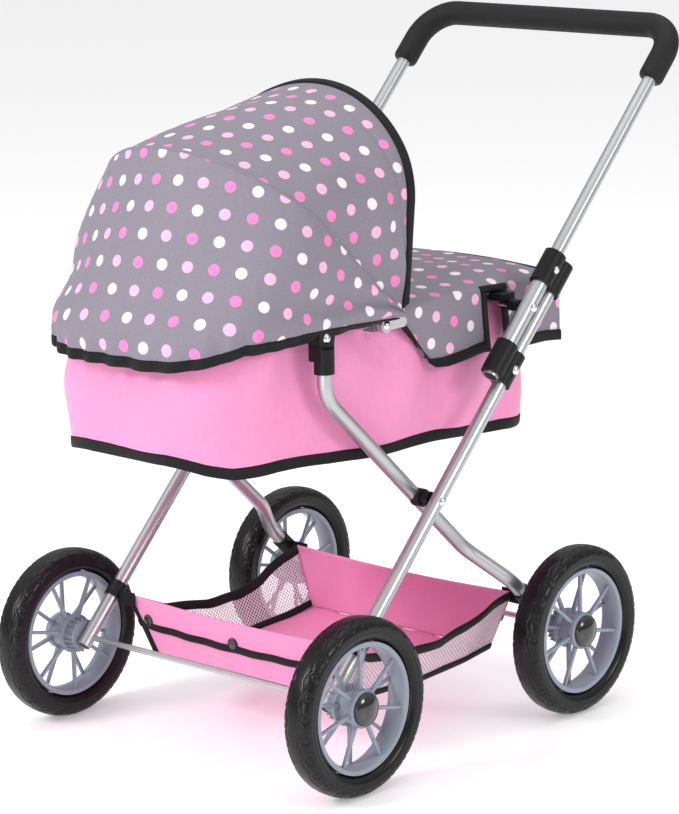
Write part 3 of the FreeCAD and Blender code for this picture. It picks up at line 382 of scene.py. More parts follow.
def around(pattern, name, turns):
    """Copies of one piece turned about the wheel's axis; the pattern itself is thrown away."""
    copies = [copy_at(pattern, name, Matrix.Rotation(2 * math.pi * turn, 4, "X")) for turn in turns]
    bpy.data.objects.remove(pattern)
    return copies


RING_OUT, RING_IN = 0.0529, 0.0484
SPOKES, SPOKE_ROWS = 7, (0.0056, -0.0064)
wheel_parts = [turned_ring("ring", [
    (-0.0095, RING_OUT), (-0.0095, RING_IN + 0.001), (-0.008, RING_IN), (-0.001, RING_IN - 0.0008),
    (0.008, RING_IN), (0.0095, RING_IN + 0.001), (0.0095, RING_OUT)])]
for row, level in enumerate(SPOKE_ROWS):
    clear_selection()
    bpy.ops.mesh.primitive_cube_add(size=1, location=(level, 0, 0.030), scale=(0.0030, 0.0026, 0.0385))
    spoke = bpy.context.object
    bpy.ops.object.transform_apply(location=True, rotation=False, scale=True)
    edit_select(spoke, lambda centre, normal: normal.z < -0.9)
    bpy.ops.transform.resize(value=(1.25, 1.35, 1))
    bpy.ops.object.mode_set(mode="OBJECT")
    round_edges(spoke, 0.0008)
    wheel_parts += around(spoke, "spoke", [(k + row / 2) / SPOKES for k in range(SPOKES)])
low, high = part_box("wheel_front_left")
HUB_IN, HUB_RIBS = low[0] - WHEEL_CENTRES["front_left"][0], 18
wheel_parts.append(turned_ring("hub", [
    (HUB_IN, 0.0026), (HUB_IN, 0.0118), (HUB_IN + 0.001, 0.0125), (-0.0105, 0.0128), (-0.010, 0.0165),
    (-0.007, 0.0168), (-0.006, 0.0135), (0.0045, 0.0135), (0.006, 0.0155), (0.0095, 0.0155), (0.0108, 0.0145),
    (0.0108, 0.0026)], 64))
clear_selection()
bpy.ops.mesh.primitive_cube_add(size=1, location=(HUB_IN + 0.0052, 0, 0.0128), scale=(0.0094, 0.0011, 0.0032))
rib = bpy.context.object
bpy.ops.object.transform_apply(location=True, rotation=False, scale=True)
wheel_parts += around(rib, "rib", [k / HUB_RIBS for k in range(HUB_RIBS)])
wheel_pattern = join(wheel_parts, "wheel_pattern")
bpy.ops.object.shade_smooth_by_angle(angle=math.radians(32))

cap_gloss, cap_tree, cap_shader = material_named("black_gloss", (0.008, 0.008, 0.009), 0.12)
noise_bump(cap_tree, cap_shader, 300, 0.03, 0.0004)
cap_shader.inputs["Coat Weight"].default_value = 0.8
cap_pattern = turned_ring("cap_pattern", [
    (0.0108, 0.0070), (0.0108, 0.0134), (0.0120, 0.0137), (0.0132, 0.0131), (0.0142, 0.0118), (0.0152, 0.0100),
    (0.0162, 0.0075), (0.0170, 0.0045), (0.0173, 0.0018), (0.0174, 0.0), (0.0158, 0.0), (0.0150, 0.0068)], 64)
for wheel, centre in WHEEL_CENTRES.items():
    facing = Matrix.Identity(4) if centre[0] > 0 else Matrix.Rotation(math.pi, 4, "Z")
    for pattern, name, material, slot, node_name in (
            (wheel_pattern, "spokes", spoke_nylon, "wheel_plastic", f"wheel_{wheel}"),
            (cap_pattern, "cap", cap_gloss, "cap_plastic", f"hub_cap_{wheel}")):
        piece = copy_at(pattern, f"{name}_{wheel}", Matrix.Translation(centre) @ facing)
        finish_piece(piece, material, f"wheel_{wheel}", slot, node_name)
bpy.data.objects.remove(wheel_pattern)
bpy.data.objects.remove(cap_pattern)

# ------------------------------------------------------------------ handle grip
# A sleeve of black foam rubber, pushed over the bent handle tube and held by its own stretch. Fine grooves run
# along it, and its ends are cut square.
foam, foam_tree, foam_shader = material_named("black_foam", (0.008, 0.008, 0.0085), 0.62)
noise_roughness(foam_tree, foam_shader, noise_bump(foam_tree, foam_shader, 1600, 0.4, 0.0005), 0.5, 0.7)
foam_shader.inputs["Specular IOR Level"].default_value = 0.3
LEAN = math.radians(44)
ALONG = np.array((0, math.sin(LEAN), math.cos(LEAN)))
ACROSS = np.array((0, -math.cos(LEAN), math.sin(LEAN)))
FRONT_AXLE = np.array((0, WHEEL_CENTRES["front_left"][1], WHEEL_CENTRES["front_left"][2]))
HANDLE_REACH, HANDLE_STEP = 0.6647, 0.0146
BAR = FRONT_AXLE + ALONG * HANDLE_REACH + ACROSS * HANDLE_STEP
GRIP_HALF, GRIP_CORNER, GRIP_TAIL, GRIP_RADIUS, GROOVE = 0.138, 0.031, 0.058, 0.0105, 0.00028


def rounded_run(points, corners, count):
    """Evenly spaced points along straight runs joined by arcs, with the direction at each."""
    dense = []
    for k, point in enumerate(points):
        point = np.array(point, float)
        if k in (0, len(points) - 1):
            dense.append(point)
            continue
        before, after = np.array(points[k - 1], float), np.array(points[k + 1], float)
        into = (point - before) / np.linalg.norm(point - before)
        out_of = (after - point) / np.linalg.norm(after - point)
        half = math.acos(float(np.clip(into @ out_of, -1, 1))) / 2
        reach = corners[k - 1] * math.tan(half)
        first, last = point - into * reach, point + out_of * reach
        centre = point + (out_of - into) / np.linalg.norm(out_of - into) * corners[k - 1] / math.cos(half)
        for step in np.linspace(0, 1, 17):
            ray = (first - centre) * math.sin((1 - step) * 2 * half) + (last - centre) * math.sin(step * 2 * half)
            dense.append(centre + ray / math.sin(2 * half))
    dense = np.array(dense)
    lengths = np.concatenate([[0], np.cumsum(np.linalg.norm(np.diff(dense, axis=0), axis=1))])
    stations = np.linspace(0, lengths[-1], count)
    run = np.stack([np.interp(stations, lengths, dense[:, i]) for i in range(3)], axis=1)
    direction = np.gradient(run, axis=0)
    return run, direction / np.linalg.norm(direction, axis=1)[:, None]


def tube_place(run, direction, normal, radius_at):
    """Wraps a grid round a run: u along it, v round it."""
    def place(u, v):
        index = np.clip(np.round(u * (len(run) - 1)).astype(int), 0, len(run) - 1)
        side = np.cross(direction[index], normal)
        side /= np.linalg.norm(side, axis=1)[:, None]
        up = np.cross(side, direction[index])
        turn = 2 * np.pi * v
        radius = radius_at(u, turn)
        return run[index] + (side * np.cos(turn)[:, None] + up * np.sin(turn)[:, None]) * radius[:, None]
    return place


side_step = np.array((GRIP_HALF, 0, 0))
grip_run, grip_direction = rounded_run(
    [BAR - ALONG * GRIP_TAIL + side_step, BAR + side_step, BAR - side_step, BAR - ALONG * GRIP_TAIL - side_step],
    [GRIP_CORNER, GRIP_CORNER], 181)


def grip_radius(u, turn):
    end = np.minimum(u, 1 - u) * 180
    shell = GRIP_RADIUS + GROOVE * np.abs(np.cos(turn * 16)) ** 0.5
    return np.where(end < 0.5, 0.0060, np.where(end < 1.5, 0.0101, shell))


grip = sheet_from("foam_grip", 180, 128, tube_place(grip_run, grip_direction, ACROSS, grip_radius), close=True)
finish_piece(grip, foam, "handle", "foam", "handle_grip")

# ------------------------------------------------------------------ carrycot cloth
# Plain-woven pink nylon with a soft shine. It wraps over the oval tube and hangs to a hem sewn round a stiff base
# board, and the hem is bound in ribbed black twill tape.


def cloth_material(name, color, roughness, sheen, weave=1500.0, depth=0.25):
    """Woven cloth on the piece's own flat pattern: a fine weave, and slow changes of tone."""
    material, tree, shader = material_named(name, color, roughness)
    flat = tree.nodes.new("ShaderNodeUVMap")
    warp = add_node(tree, "ShaderNodeTexWave", Scale=weave / 6.28)
    weft = add_node(tree, "ShaderNodeTexWave", Scale=weave / 6.28)
    weft.bands_direction = "Y"
    both = tree.nodes.new("ShaderNodeMath")
    both.operation = "MAXIMUM"
    slub = add_node(tree, "ShaderNodeTexNoise", Scale=420, Detail=4)
    height = tree.nodes.new("ShaderNodeMath")
    height.operation = "ADD"
    bump = add_node(tree, "ShaderNodeBump", Strength=depth, Distance=0.0004)
    for wave in (warp, weft, slub):
        tree.links.new(flat.outputs["UV"], wave.inputs["Vector"])
    tree.links.new(warp.outputs["Fac"], both.inputs[0])
    tree.links.new(weft.outputs["Fac"], both.inputs[1])
    tree.links.new(both.outputs["Value"], height.inputs[0])
    tree.links.new(slub.outputs["Fac"], height.inputs[1])
    tree.links.new(height.outputs["Value"], bump.inputs["Height"])
    tree.links.new(bump.outputs["Normal"], shader.inputs["Normal"])
    noise_roughness(tree, shader, slub, roughness - 0.08, roughness + 0.08)
    shader.inputs["Sheen Weight"].default_value = sheen
    shader.inputs["Sheen Roughness"].default_value = 0.4
    shader.inputs["Specular IOR Level"].default_value = 0.35
    return material, tree, shader, slub


def tinted(tree, shader, slub, color, amount):
    """Colour that drifts a little darker and lighter."""
    mix = tree.nodes.new("ShaderNodeMix")
    mix.data_type = "RGBA"
    mix.inputs["A"].default_value = (*[c * (1 - amount) for c in color], 1)
    mix.inputs["B"].default_value = (*[min(1, c * (1 + amount)) for c in color], 1)
    tree.links.new(slub.outputs["Fac"], mix.inputs["Factor"])
    tree.links.new(mix.outputs["Result"], shader.inputs["Base Color"])
    return mix


PINK = (0.86, 0.29, 0.53)
pink, pink_tree, pink_shader, pink_slub = cloth_material("pink_nylon", PINK, 0.48, 0.12)
tinted(pink_tree, pink_shader, pink_slub, PINK, 0.06)


def flatten(piece):
    """Unwraps the cloth to its flat pattern in metres; gives the pattern's width, length and area."""
    clear_selection()
    piece.select_set(True)
    bpy.context.view_layer.objects.active = piece
    bpy.ops.object.mode_set(mode="EDIT")
    bpy.ops.mesh.select_all(action="SELECT")
    bpy.ops.uv.unwrap(method="CONFORMAL", margin=0)
    bpy.ops.object.mode_set(mode="OBJECT")
    mesh = piece.data
    flat = np.empty(len(mesh.loops) * 2)
    mesh.uv_layers.active.data.foreach_get("uv", flat)
    flat = flat.reshape(-1, 2)
    pattern_area = 0.0
    for face in mesh.polygons:
        corners = flat[face.loop_start:face.loop_start + face.loop_total]
        x, y = corners[:, 0], corners[:, 1]
        pattern_area += 0.5 * abs(float(np.dot(x, np.roll(y, -1)) - np.dot(y, np.roll(x, -1))))
    area = sum(face.area for face in mesh.polygons)
    flat *= math.sqrt(area / pattern_area)
    mesh.uv_layers.active.data.foreach_set("uv", flat.ravel())
    width, length = np.ptp(flat, axis=0)
    return float(width), float(length), area


def declare_cloth(piece, thickness=0.0008):
    width, length, area = flatten(piece)
    solid = piece.modifiers.new("thickness", "SOLIDIFY")
    solid.thickness = thickness
    solid.offset = -1
    apply_all(piece)


def unit(rows):
    return rows / (np.linalg.norm(rows, axis=1)[:, None] + 1e-12)


def bind(name, surface, start, end, inward, width, thick, count=121, closed=False, body="carrycot"):
    """A tape folded over a cloth's edge: the edge runs in (u, v) from start to end, and inward is the way in."""
    along = np.linspace(0, 1, count)
    u = start[0] + (end[0] - start[0]) * along
    v = start[1] + (end[1] - start[1]) * along
    step = 0.01
    edge = surface(u, v)
    reach_in = surface(u + inward[0] * step, v + inward[1] * step) - edge
    scale = np.linalg.norm(reach_in, axis=1) / step + 1e-9
    section = [(-0.08, 0.0), (-0.06, 0.3), (0.06, 0.46), (0.3, 0.5), (0.65, 0.5), (0.9, 0.45), (1.0, 0.28),
               (1.0, -0.28), (0.9, -0.45), (0.65, -0.5), (0.3, -0.5), (0.06, -0.46), (-0.06, -0.3), (-0.08, 0.0)]
    rings = []
    for reach, rise in section:
        inside = max(reach, 0.0) * width / scale
        spot = surface(u + inward[0] * inside, v + inward[1] * inside)
        nearby = surface(u + inward[0] * (inside + 0.003), v + inward[1] * (inside + 0.003))
        into = unit(nearby - spot)
        direction = np.gradient(spot, axis=0)
        if closed:
            direction[0] = direction[-1] = spot[1] - spot[-2]
        rings.append(spot + into * min(reach, 0.0) * width + unit(np.cross(direction, into)) * rise * thick)
    rings = np.array(rings)

    def place(a, b):
        return rings[np.round(b * (len(section) - 1)).astype(int), np.round(a * (count - 1)).astype(int)]

    piece = sheet_from(name, count - 1, len(section) - 1, place)
    lengths = np.concatenate([[0], np.cumsum(np.linalg.norm(np.diff(edge, axis=0), axis=1))])
    around = np.linspace(0, 2 * width, len(section))
    layer = piece.data.uv_layers.active.data
    flat = np.empty(len(layer) * 2)
    layer.foreach_get("uv", flat)
    flat = flat.reshape(-1, 2)
    flat = np.stack([np.interp(flat[:, 0], np.linspace(0, 1, count), lengths),
                     np.interp(flat[:, 1], np.linspace(0, 1, len(section)), around)], axis=1)
    layer.foreach_set("uv", flat.ravel())
    clear_selection()
    piece.select_set(True)
    bpy.context.view_layer.objects.active = piece
    bpy.ops.object.mode_set(mode="EDIT")
    bpy.ops.mesh.select_mode(type="VERT")
    bpy.ops.mesh.select_all(action="SELECT")
    bpy.ops.mesh.remove_doubles(threshold=0.00002)
    if not closed:
        bpy.ops.mesh.select_all(action="DESELECT")
        bpy.ops.mesh.select_non_manifold()
        bpy.ops.mesh.fill_holes(sides=40)
    bpy.ops.mesh.select_all(action="SELECT")
    bpy.ops.mesh.normals_make_consistent(inside=False)
    bpy.ops.object.mode_set(mode="OBJECT")
    return finish_piece(piece, twill, body, "black_binding")


twill, twill_tree, twill_shader = material_named("black_twill_tape", (0.006, 0.006, 0.007), 0.62)
twill_flat = twill_tree.nodes.new("ShaderNodeUVMap")
ribs = add_node(twill_tree, "ShaderNodeTexWave", Scale=420)
ribs.bands_direction = "DIAGONAL"
rib_bump = add_node(twill_tree, "ShaderNodeBump", Strength=0.6, Distance=0.0005)
twill_tree.links.new(twill_flat.outputs["UV"], ribs.inputs["Vector"])
twill_tree.links.new(ribs.outputs["Fac"], rib_bump.inputs["Height"])
twill_tree.links.new(rib_bump.outputs["Normal"], twill_shader.inputs["Normal"])
noise_roughness(twill_tree, twill_shader, ribs, 0.5, 0.72)
twill_shader.inputs["Specular IOR Level"].default_value = 0.25

RIM_LOW, RIM_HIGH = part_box("carrycot_frame")
RIM_Z = (RIM_LOW[2] + RIM_HIGH[2]) / 2
RIM_HALF, RIM_CORNER, RIM_TUBE = 0.100, 0.068, 0.004
RIM_FRONT, RIM_REAR = RIM_LOW[1] + RIM_TUBE, RIM_HIGH[1] - RIM_TUBE
PIVOT_Y = RIM_FRONT + 0.106


def oval(share, half, front, rear, corner):
    """A rounded rectangle walked once round from the middle of its handle end; also its outward direction."""
    points = [(0, rear), (-half, rear), (-half, front), (half, front), (half, rear), (0, rear)]
    run, direction = rounded_run([(x, y, 0) for x, y in points], [corner] * 4, 1441)
    index = np.clip(np.round(share * 1440).astype(int), 0, 1440)
    outward = np.stack([-direction[index, 1], direction[index, 0]], axis=1)
    return run[index, :2], outward


def hem_height(x, y):
    """The base hangs lowest near the handle and lifts round the hood end."""
    level = np.interp(y, (-0.265, -0.252, -0.237, -0.2, -0.14, 0.07, 0.14),
                      (0.262, 0.257, 0.2535, 0.2535, 0.2485, 0.240, 0.232))
    return level + 0.0012 * np.sin(y * 41 + x * 19)


def cot_wall(u, v):
    """u round the oval, v from the turned-over top edge to the hem."""
    v = np.clip(v, 0, 1.1)
    ring, outward = oval(u, RIM_HALF, RIM_FRONT, RIM_REAR, RIM_CORNER)
    x, y = ring[:, 0], ring[:, 1]
    grow = np.interp(v, (0, 0.02, 0.05, 0.09, 1), (-0.0048, 0.0, 0.0052, 0.0056, -0.0012))
    top = RIM_Z + np.interp(v, (0, 0.02, 0.05), (0.003, 0.0052, 0.002))
    z = np.where(v < 0.05, top, RIM_Z + 0.002 - (RIM_Z + 0.002 - hem_height(x, y)) * (v - 0.05) / 0.95)
    fall = np.sin(np.pi * np.clip(v, 0, 1)) ** 0.7
    # folds spread like a fan below each leg pivot
    fan = (y - PIVOT_Y) / (0.016 + 0.10 * v)
    fold = 0.0052 * np.cos(fan * 2.6 + 0.5 * np.sign(x)) * np.exp(-((y - PIVOT_Y) / 0.085) ** 2)
    fold += 0.0036 * np.sin(y * 74 + 2.4 * v + 1.3 * x * 10) * np.exp(-((y - 0.01) / 0.08) ** 2)
    fold += 0.0052 * np.sin(x * 52 + 3.5 * v + 0.8) * np.exp(-((y - RIM_FRONT) / 0.045) ** 2)
    fold += 0.0024 * np.sin(u * 2 * np.pi * 11 + 5 * v)
    grow = grow + (fold * fall - 0.0030 * np.sin(np.pi * v)) * (v > 0.09)
    return np.stack([x + outward[:, 0] * grow, y + outward[:, 1] * grow, z], axis=1)


cot = sheet_from("carrycot_cloth", 400, 64, cot_wall)
finish_piece(cot, pink, "carrycot", "pink_satin", "carrycot_box")
TAPE_THICK = 0.0034
hem_tape = bind("carrycot_hem_tape", cot_wall, (0, 1), (1, 1), (0, -1), 0.0088, TAPE_THICK, 401, closed=True)
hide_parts("carrycot_hem")


def cot_base(lift):
    """The floor of the carrycot: rings of the hem line drawn in to the middle."""
    def place(u, v):
        ring, _ = oval(u, RIM_HALF - 0.005, RIM_FRONT + 0.005, RIM_REAR - 0.005, RIM_CORNER - 0.005)
        middle = np.stack([np.zeros_like(u), np.interp(ring[:, 1], (RIM_FRONT, RIM_REAR), (-0.16, 0.03))], axis=1)
        spot = ring + (middle - ring) * (v * 0.999)[:, None]
        z = np.interp(spot[:, 1], (-0.265, -0.2, 0.14), (0.262, 0.2545, 0.240)) + lift - 0.001 * np.sin(np.pi * v)
        return np.stack([spot[:, 0], spot[:, 1], z], axis=1)
    return place


under = sheet_from("carrycot_under_cloth", 180, 16, cot_base(0.0035))
finish_piece(under, pink, "carrycot", "pink_satin")
board_plastic, board_tree, board_shader = material_named("grey_board", (0.09, 0.09, 0.10), 0.55)
noise_roughness(board_tree, board_shader, noise_bump(board_tree, board_shader, 600, 0.3, 0.0008), 0.48, 0.65)
board = sheet_from("base_board", 180, 16, cot_base(0.0078))
board_solid = board.modifiers.new("thickness", "SOLIDIFY")
board_solid.thickness = 0.003
apply_all(board)
finish_piece(board, board_plastic, "carrycot", "board", "carrycot_board")
declare_cloth(under)
declare_cloth(cot)

# ------------------------------------------------------------------ hood
# Grey plain weave, printed with rows of round spots in deep pink, pale pink and white. Two panels are sewn over
# a middle bow and an edge bow that turn in the carrycot's brackets; the nose hangs slack to a gathered hem.
GREY = (0.232, 0.208, 0.258)
DEEP_SPOT, PALE_SPOT, WHITE_SPOT = (0.84, 0.22, 0.50, 1), (0.88, 0.45, 0.66, 1), (0.88, 0.76, 0.82, 1)
SPOT_PITCH, SPOT_RADIUS = 0.0222, 0.0046


def spotted(name, turn):
    """The printed cloth, its rows of spots turned by some degrees."""
    material, tree, shader, slub = cloth_material(name, GREY, 0.62, 0.08, 1300, 0.35)
    ground = tinted(tree, shader, slub, GREY, 0.12)
    flat = tree.nodes.new("ShaderNodeUVMap")
    turned = tree.nodes.new("ShaderNodeMapping")
    turned.inputs["Rotation"].default_value = (0, 0, math.radians(turn))
    turned.inputs["Scale"].default_value = (1 / SPOT_PITCH, 1 / SPOT_PITCH, 1)
    tree.links.new(flat.outputs["UV"], turned.inputs["Vector"])
    parts = tree.nodes.new("ShaderNodeSeparateXYZ")
    tree.links.new(turned.outputs["Vector"], parts.inputs["Vector"])

    def math_node(operation, first, second=0.0):
        node = tree.nodes.new("ShaderNodeMath")
        node.operation = operation
        for socket, value in zip(node.inputs, (first, second)):
            if isinstance(value, float):
                socket.default_value = value
            else:
                tree.links.new(value, socket)
        return node.outputs["Value"]

    across, along = parts.outputs["X"], parts.outputs["Y"]
    column, row = math_node("FLOOR", across), math_node("FLOOR", along)
    from_x = math_node("SUBTRACT", math_node("SUBTRACT", across, column), 0.5)
    from_y = math_node("SUBTRACT", math_node("SUBTRACT", along, row), 0.5)
    square = math_node("ADD", math_node("MULTIPLY", from_x, from_x), math_node("MULTIPLY", from_y, from_y))
    distance = math_node("SQRT", square)
    edge = tree.nodes.new("ShaderNodeMapRange")
    edge.inputs["From Min"].default_value = SPOT_RADIUS / SPOT_PITCH + 0.012
    edge.inputs["From Max"].default_value = SPOT_RADIUS / SPOT_PITCH - 0.012
    tree.links.new(distance, edge.inputs["Value"])
    tally = math_node("ADD", column, row)
    third = math_node("FLOORED_MODULO", tally, 3.0)
    share = math_node("DIVIDE", third, 3.0)
    ramp = tree.nodes.new("ShaderNodeValToRGB")
    ramp.color_ramp.interpolation = "CONSTANT"
    ramp.color_ramp.elements[0].position = 0.0
    ramp.color_ramp.elements[0].color = DEEP_SPOT
    ramp.color_ramp.elements[1].position = 0.25
    ramp.color_ramp.elements[1].color = PALE_SPOT
    ramp.color_ramp.elements.new(0.58).color = WHITE_SPOT
    tree.links.new(share, ramp.inputs["Fac"])
    mix = tree.nodes.new("ShaderNodeMix")
    mix.data_type = "RGBA"
    tree.links.new(edge.outputs["Result"], mix.inputs["Factor"])
    tree.links.new(ground.outputs["Result"], mix.inputs["A"])
    tree.links.new(ramp.outputs["Color"], mix.inputs["B"])
    tree.links.new(mix.outputs["Result"], shader.inputs["Base Color"])
    return material


HOOD_ROOT = np.array((0, PIVOT_Y + 0.0961, 0.352))
# each arch: half width, rise, height of its foot, flare at the foot, shoulder radius, shoulder turn in degrees
EDGE_ARCH = (0.1124, 0.1854, 0.015, 0.003, 0.0788, 40)
MID_ARCH = (0.114, 0.213, 0.015, 0.004, 0.0798, 40)
EDGE_ANGLE, MID_ANGLE = -9, 46
STITCH_LINE = 0.83


def arch_point(arch, share):
    """(X, reach) on an arch: share 0 is the right foot, 0.5 the crown and 1 the left foot."""
    half, rise, foot, flare, radius, turn = arch
    turn = math.radians(turn)
    crown = radius + (half - radius) / math.cos(turn)
    spring = rise - crown - (radius - crown) * math.sin(turn)
    shoulder = np.linspace(0, turn, 24)
    top = np.linspace(turn, math.pi / 2, 24)
    x = np.concatenate([[half + flare], half - radius + radius * np.cos(shoulder), crown * np.cos(top[1:])])
    reach = np.concatenate([[foot], spring + radius * np.sin(shoulder), rise - crown + crown * np.sin(top[1:])])
    x, reach = np.concatenate([-x, x[-2::-1]]), np.concatenate([reach, reach[-2::-1]])
    lengths = np.concatenate([[0], np.cumsum(np.hypot(np.diff(x), np.diff(reach)))])
    lengths /= lengths[-1]
    return np.interp(share, lengths, x), np.interp(share, lengths, reach)


def in_plane(x, reach, angle):
    """A point of an arch, in its plane through the root line."""
    angle = np.radians(angle)
    return np.stack([x, HOOD_ROOT[1] - reach * np.sin(angle), HOOD_ROOT[2] + reach * np.cos(angle)], axis=1)


def away_from_root(spot):
    centre = spot - HOOD_ROOT
    centre[:, 0] *= 0.9
    return unit(centre)


def hood_rear(u, v):
    """u over the arch from right to left, v from the middle bow back to the edge bow."""
    u = np.clip(u, 0, 1)
    mid = in_plane(*arch_point(MID_ARCH, u), np.full_like(u, MID_ANGLE))
    edge = in_plane(*arch_point(EDGE_ARCH, u), np.full_like(u, EDGE_ANGLE))
    spot = mid * (1 - v)[:, None] + edge * v[:, None]
    between = np.sin(np.pi * np.clip(v, 0, 1))
    crown = np.sin(np.pi * u)
    side = np.exp(-((np.minimum(u, 1 - u) - 0.14) / 0.13) ** 2)
    move = 0.0050 * between * crown ** 0.5
    move = move - 0.0035 * between * crown ** 3
    move = move - 0.0010 * np.exp(-((v - STITCH_LINE) / 0.014) ** 2)
    move = move + 0.0026 * np.sin(34 * u + 9 * v) * between * side + 0.0022 * np.sin(21 * u - 6 * v) * between
    return spot + away_from_root(spot) * move[:, None]


def hood_hem(u):
    """The hem follows the outside of the carrycot from one hinge round the hood end to the other."""
    half, front, corner = RIM_HALF + 0.0108, RIM_FRONT - 0.0085, RIM_CORNER + 0.0085
    start = HOOD_ROOT[1] - 0.012
    path = [(-half - 0.002, start, 0), (-half, front, 0), (half, front, 0), (half + 0.002, start, 0)]
    run, _ = rounded_run(path, [corner, corner], 721)
    index = np.clip(np.round(u * 720).astype(int), 0, 720)
    spot = run[index].copy()
    spot[:, 2] = np.interp(spot[:, 1], (front, -0.26, -0.235, -0.084), (0.3375, 0.342, 0.351, 0.3575))
    return spot


def hood_nose(u, v):
    """u over the arch from right to left, v from the middle bow down to the hem."""
    u = np.clip(u, 0, 1)
    mid = in_plane(*arch_point(MID_ARCH, u), np.full_like(u, MID_ANGLE))
    hem = hood_hem(u)
    spot = mid * (1 - v)[:, None] + hem * v[:, None]
    crown = np.sin(np.pi * u)
    level = np.clip(v, 0, 1)
    blouse = 0.0100 * np.exp(-((level - 0.84) / 0.13) ** 2) * (0.35 + 0.65 * crown)
    slack = 0.004 * np.sin(np.pi * level) ** 2 * crown + 0.0095 * np.sin(np.pi * level ** 0.7) * (1 - crown ** 2)
    gather = 0.0019 * np.sin(u * 150 + 2.2 * np.sin(u * 17)) * np.exp(-((1 - level) / 0.15) ** 2)
    crease = 0.0036 * np.sin(level * 13 + 26 * u) * np.sin(np.pi * level)
    crease = crease * np.exp(-((np.minimum(u, 1 - u)) / 0.2) ** 2)
    soft = 0.0034 * np.sin(u * 25 + 4 * level) * np.sin(np.pi * level)
    out = away_from_root(spot)
    out[:, 2] *= 1 - 0.6 * level
    return spot + unit(out) * (blouse + slack + gather + crease + soft)[:, None]


rear = sheet_from("hood_rear_cloth", 180, 72, hood_rear)
nose = sheet_from("hood_nose_cloth", 260, 84, hood_nose)
finish_piece(rear, spotted("spotted_rear", 4), None, "spotted_cloth", "hood_rear_panel")
finish_piece(nose, spotted("spotted_nose", 3), None, "spotted_cloth", "hood_nose_panel")
edge_tape = bind("hood_edge_tape", hood_rear, (0, 1), (1, 1), (0, -1), 0.0088, 0.0036, 161,
                 body="hood_edge")
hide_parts("hood_binding")
nose_tape = bind("hood_hem_tape", hood_nose, (0, 1), (1, 1), (0, -1), 0.0085, TAPE_THICK, 261, body=None)
grey_plain, grey_tree, grey_shader, grey_slub = cloth_material("grey_cloth", GREY, 0.62, 0.08, 1300, 0.35)
tinted(grey_tree, grey_shader, grey_slub, GREY, 0.12)
seam_share = np.linspace(0, 1, 161)
seam_run = in_plane(*arch_point(MID_ARCH, seam_share), np.full(161, MID_ANGLE))
seam = sheet_from("hood_seam", 160, 10, tube_place(
    seam_run, unit(np.gradient(seam_run, axis=0)), np.array((0.0, 0.695, 0.719)),
    lambda u, turn: np.full_like(u, 0.0014)), close=True)
finish_piece(seam, grey_plain, "hood_middle", "spotted_cloth")
stitch_run = hood_rear(np.linspace(0.02, 0.98, 721), np.full(721, STITCH_LINE))
stitch_run = stitch_run + away_from_root(stitch_run) * 0.0001
stitches = sheet_from("hood_stitches", 720, 6, tube_place(
    stitch_run, unit(np.gradient(stitch_run, axis=0)), np.array((0.0, 0.99, 0.1)),
    lambda u, turn: np.where((np.round(u * 720).astype(int) % 6) < 4, 0.00028, 0.0)))
finish_piece(stitches, grey_plain, None, "spotted_cloth")
declare_cloth(rear)
declare_cloth(nose)
for piece in (rear, stitches):
    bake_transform(piece)
for piece in (nose, nose_tape):
    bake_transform(piece)

# ------------------------------------------------------------------ apron
# A cover of the spotted cloth over the foot end of the carrycot, bound all round in black tape. A slit down each
# side clears the frame's hooks and pins, and a flap hangs at the handle end.
APRON_HALF = 0.1068
APRON_FRONT, APRON_REAR = RIM_FRONT + 0.194, RIM_REAR + 0.0062
SLIT_FROM, SLIT_TO, SLIT_TOP = 35 / 64, 41 / 64, 20 / 120


def apron_surface(u, v):
    """u from the right flap's edge over the top to the left, v from the hood end to the handle end."""
    span = np.abs(u - 0.5) * 2
    over = np.clip(span * 1.5, 0, 1)
    down = np.clip((span - 2 / 3) * 3, 0, 1.05)
    sign = np.where(u < 0.5, -1.0, 1.0)
    y = APRON_FRONT * (1 - v) + APRON_REAR * v + 0.042 * down ** 1.1 * np.clip(1 - v, 0, 1) ** 3
    x = APRON_HALF * np.sin(over * np.pi / 2) ** 0.92 + 0.002 * down
    crown = np.interp(y, (-0.08, -0.03, 0.06, 0.125, 0.142), (0.004, 0.011, 0.0165, 0.0125, 0.006))
    z = RIM_Z + 0.0052 + crown * np.cos(over * np.pi / 2) ** 0.8
    z = z - down * np.interp(v, (0, 0.04, 0.1, 0.2, 0.5, 0.9, 1),
                             (0.041, 0.0475, 0.0515, 0.0525, 0.049, 0.052, 0.054))
    near_slit = np.exp(-((v - 0.61) / 0.10) ** 2)
    x = x + 0.0018 * np.sin(y * 75 + 1.2) * down + 0.0015 * near_slit * down
    z = z + 0.0014 * np.sin(u * 21) * np.sin(v * 9 + 1) * (1 - down)
    return np.stack([sign * x, y, z], axis=1)


